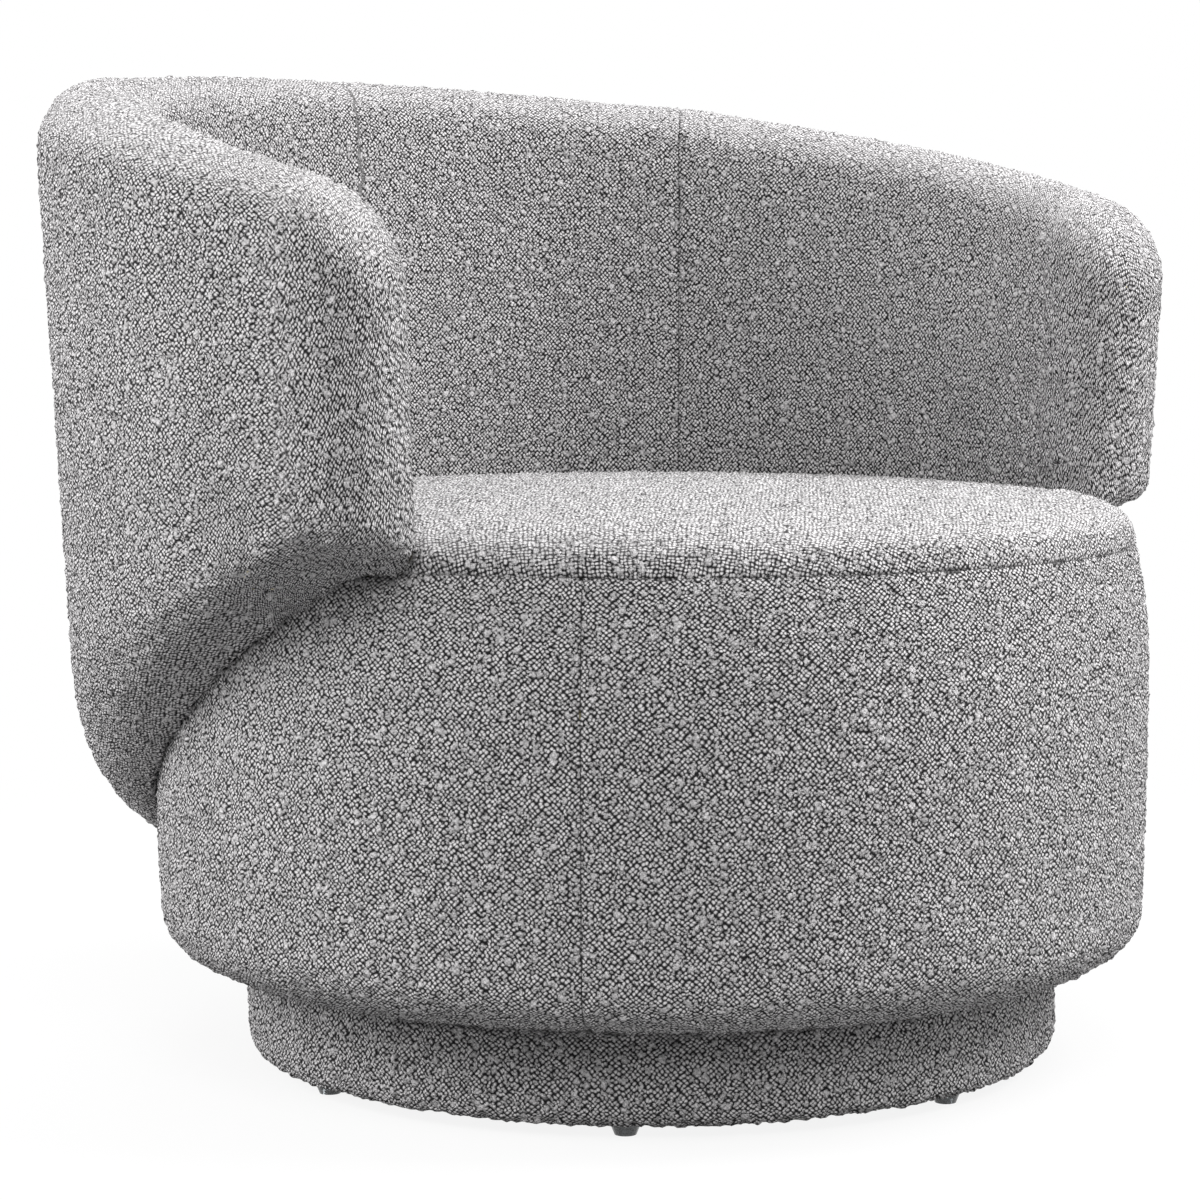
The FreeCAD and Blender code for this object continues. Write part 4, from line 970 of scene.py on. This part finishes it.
def staples(name, radius, under, count, body):
    """Wire staples set round a lining's edge."""
    shape = bmesh.new()
    for number in range(count):
        turn = Matrix.Rotation(2 * math.pi * (number + 0.5) / count, 4, "Z")
        place = Matrix.Translation(Vector((AXIS.x, AXIS.y, under))) @ turn
        wire = Matrix.Translation(Vector((radius, 0.0, 0.0))) @ Matrix.Diagonal((*STAPLE_SIZE, 1.0))
        bmesh.ops.create_cube(shape, size=1.0, matrix=place @ wire)
    piece = piece_from(name, shape)
    rounded = piece.modifiers.new("rounded wire", "BEVEL")
    rounded.width = STAPLE_ROUNDING
    rounded.segments = 1
    piece.data.materials.append(zinc)
    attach(piece, body)
    return piece


def lining_with_staples(name, replaced, inner, count, body):
    """The lining in place of a CAD dust cloth, cut to that cloth's own size."""
    low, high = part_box(replaced)
    outer = (high[0] - low[0]) / 2
    wires = staples(name + "_staples", outer - STAPLE_INSET, low[2], count, body)
    lining_sheet(name, replaced, inner, outer, high[2], body)


lining_with_staples("seat_lining", "seat_dust_cloth", PLATE_ROOM_RADIUS, 48, "seat")
lining_with_staples("plinth_lining", "plinth_dust_cloth", 0.0, 42, "base")


# Floor, surround and lamps
def grey(level):
    return (level, level, level, 1.0)


def floor_material():
    """Matt white paper floor. The camera sees it nearly white and quite white further off, and it keeps the
    chair's shadow. It throws little light back up, as a large dull floor does."""
    material, tree = new_material("white_paper")
    seen = seen_rays(tree)
    tone = tinted(tree, seen, grey(FLOOR_LIT), grey(FLOOR_SEEN))
    paper = add(tree, "BsdfDiffuse", feeds={"Color": tone})
    bright = add(tree, "Emission", feeds={"Color": grey(1.0), "Strength": 1.0})
    away = add(tree, "VectorMath", {"operation": "LENGTH"}, {0: place_on(tree)}).outputs["Value"]
    faded = add(tree, "MapRange", {"interpolation_type": "SMOOTHSTEP"}, {
        "Value": away, "From Min": FLOOR_FADE[0], "From Max": FLOOR_FADE[1],
        "To Min": FLOOR_GLOW[0], "To Max": FLOOR_GLOW[1],
    }).outputs["Result"]
    share = math_node(tree, "MULTIPLY", seen, faded)
    finish_material(tree, add(tree, "MixShader", feeds={0: share, 1: paper.outputs[0], 2: bright.outputs[0]}))
    return material


ground = bmesh.new()
bmesh.ops.create_grid(ground, x_segments=1, y_segments=1, size=FLOOR_HALF)
floor = piece_from("floor", ground)
floor.data.materials.append(floor_material())

world = bpy.data.worlds.new("studio")
world.use_nodes = True
bpy.context.scene.world = world
sky = world.node_tree
sky.nodes.clear()
surround = add(sky, "Background", feeds={
    "Color": grey(1.0), "Strength": ranged(sky, seen_rays(sky), AMBIENT, 1.0),
})
add(sky, "OutputWorld", feeds={"Surface": surround.outputs[0]})


def softbox(name, place, side, power):
    """A square lamp aimed at the middle of the seat."""
    data = bpy.data.lights.new(name, "AREA")
    data.shape = "SQUARE"
    data.size = side
    data.energy = power
    lamp = bpy.data.objects.new(name, data)
    bpy.context.scene.collection.objects.link(lamp)
    lamp.location = place
    lamp.rotation_euler = (Vector(SEAT_MIDDLE) - Vector(place)).to_track_quat("-Z", "Y").to_euler()


softbox("overhead", (0.0, 0.3, 2.6), 2.2, 22.0)
softbox("right_high", (1.6, -1.4, 2.3), 1.6, 80.0)
softbox("right_low", (1.95, -1.72, 1.0), 1.6, 24.0)
softbox("left_side", (-1.95, 1.72, 1.2), 1.6, 74.0)
softbox("camera_side", (-1.5, -1.8, 2.2), 1.6, 57.0)
softbox("rear_fill", (1.7, 1.9, 1.5), 1.6, 26.0)

bpy.context.scene.view_settings.view_transform = "Standard"
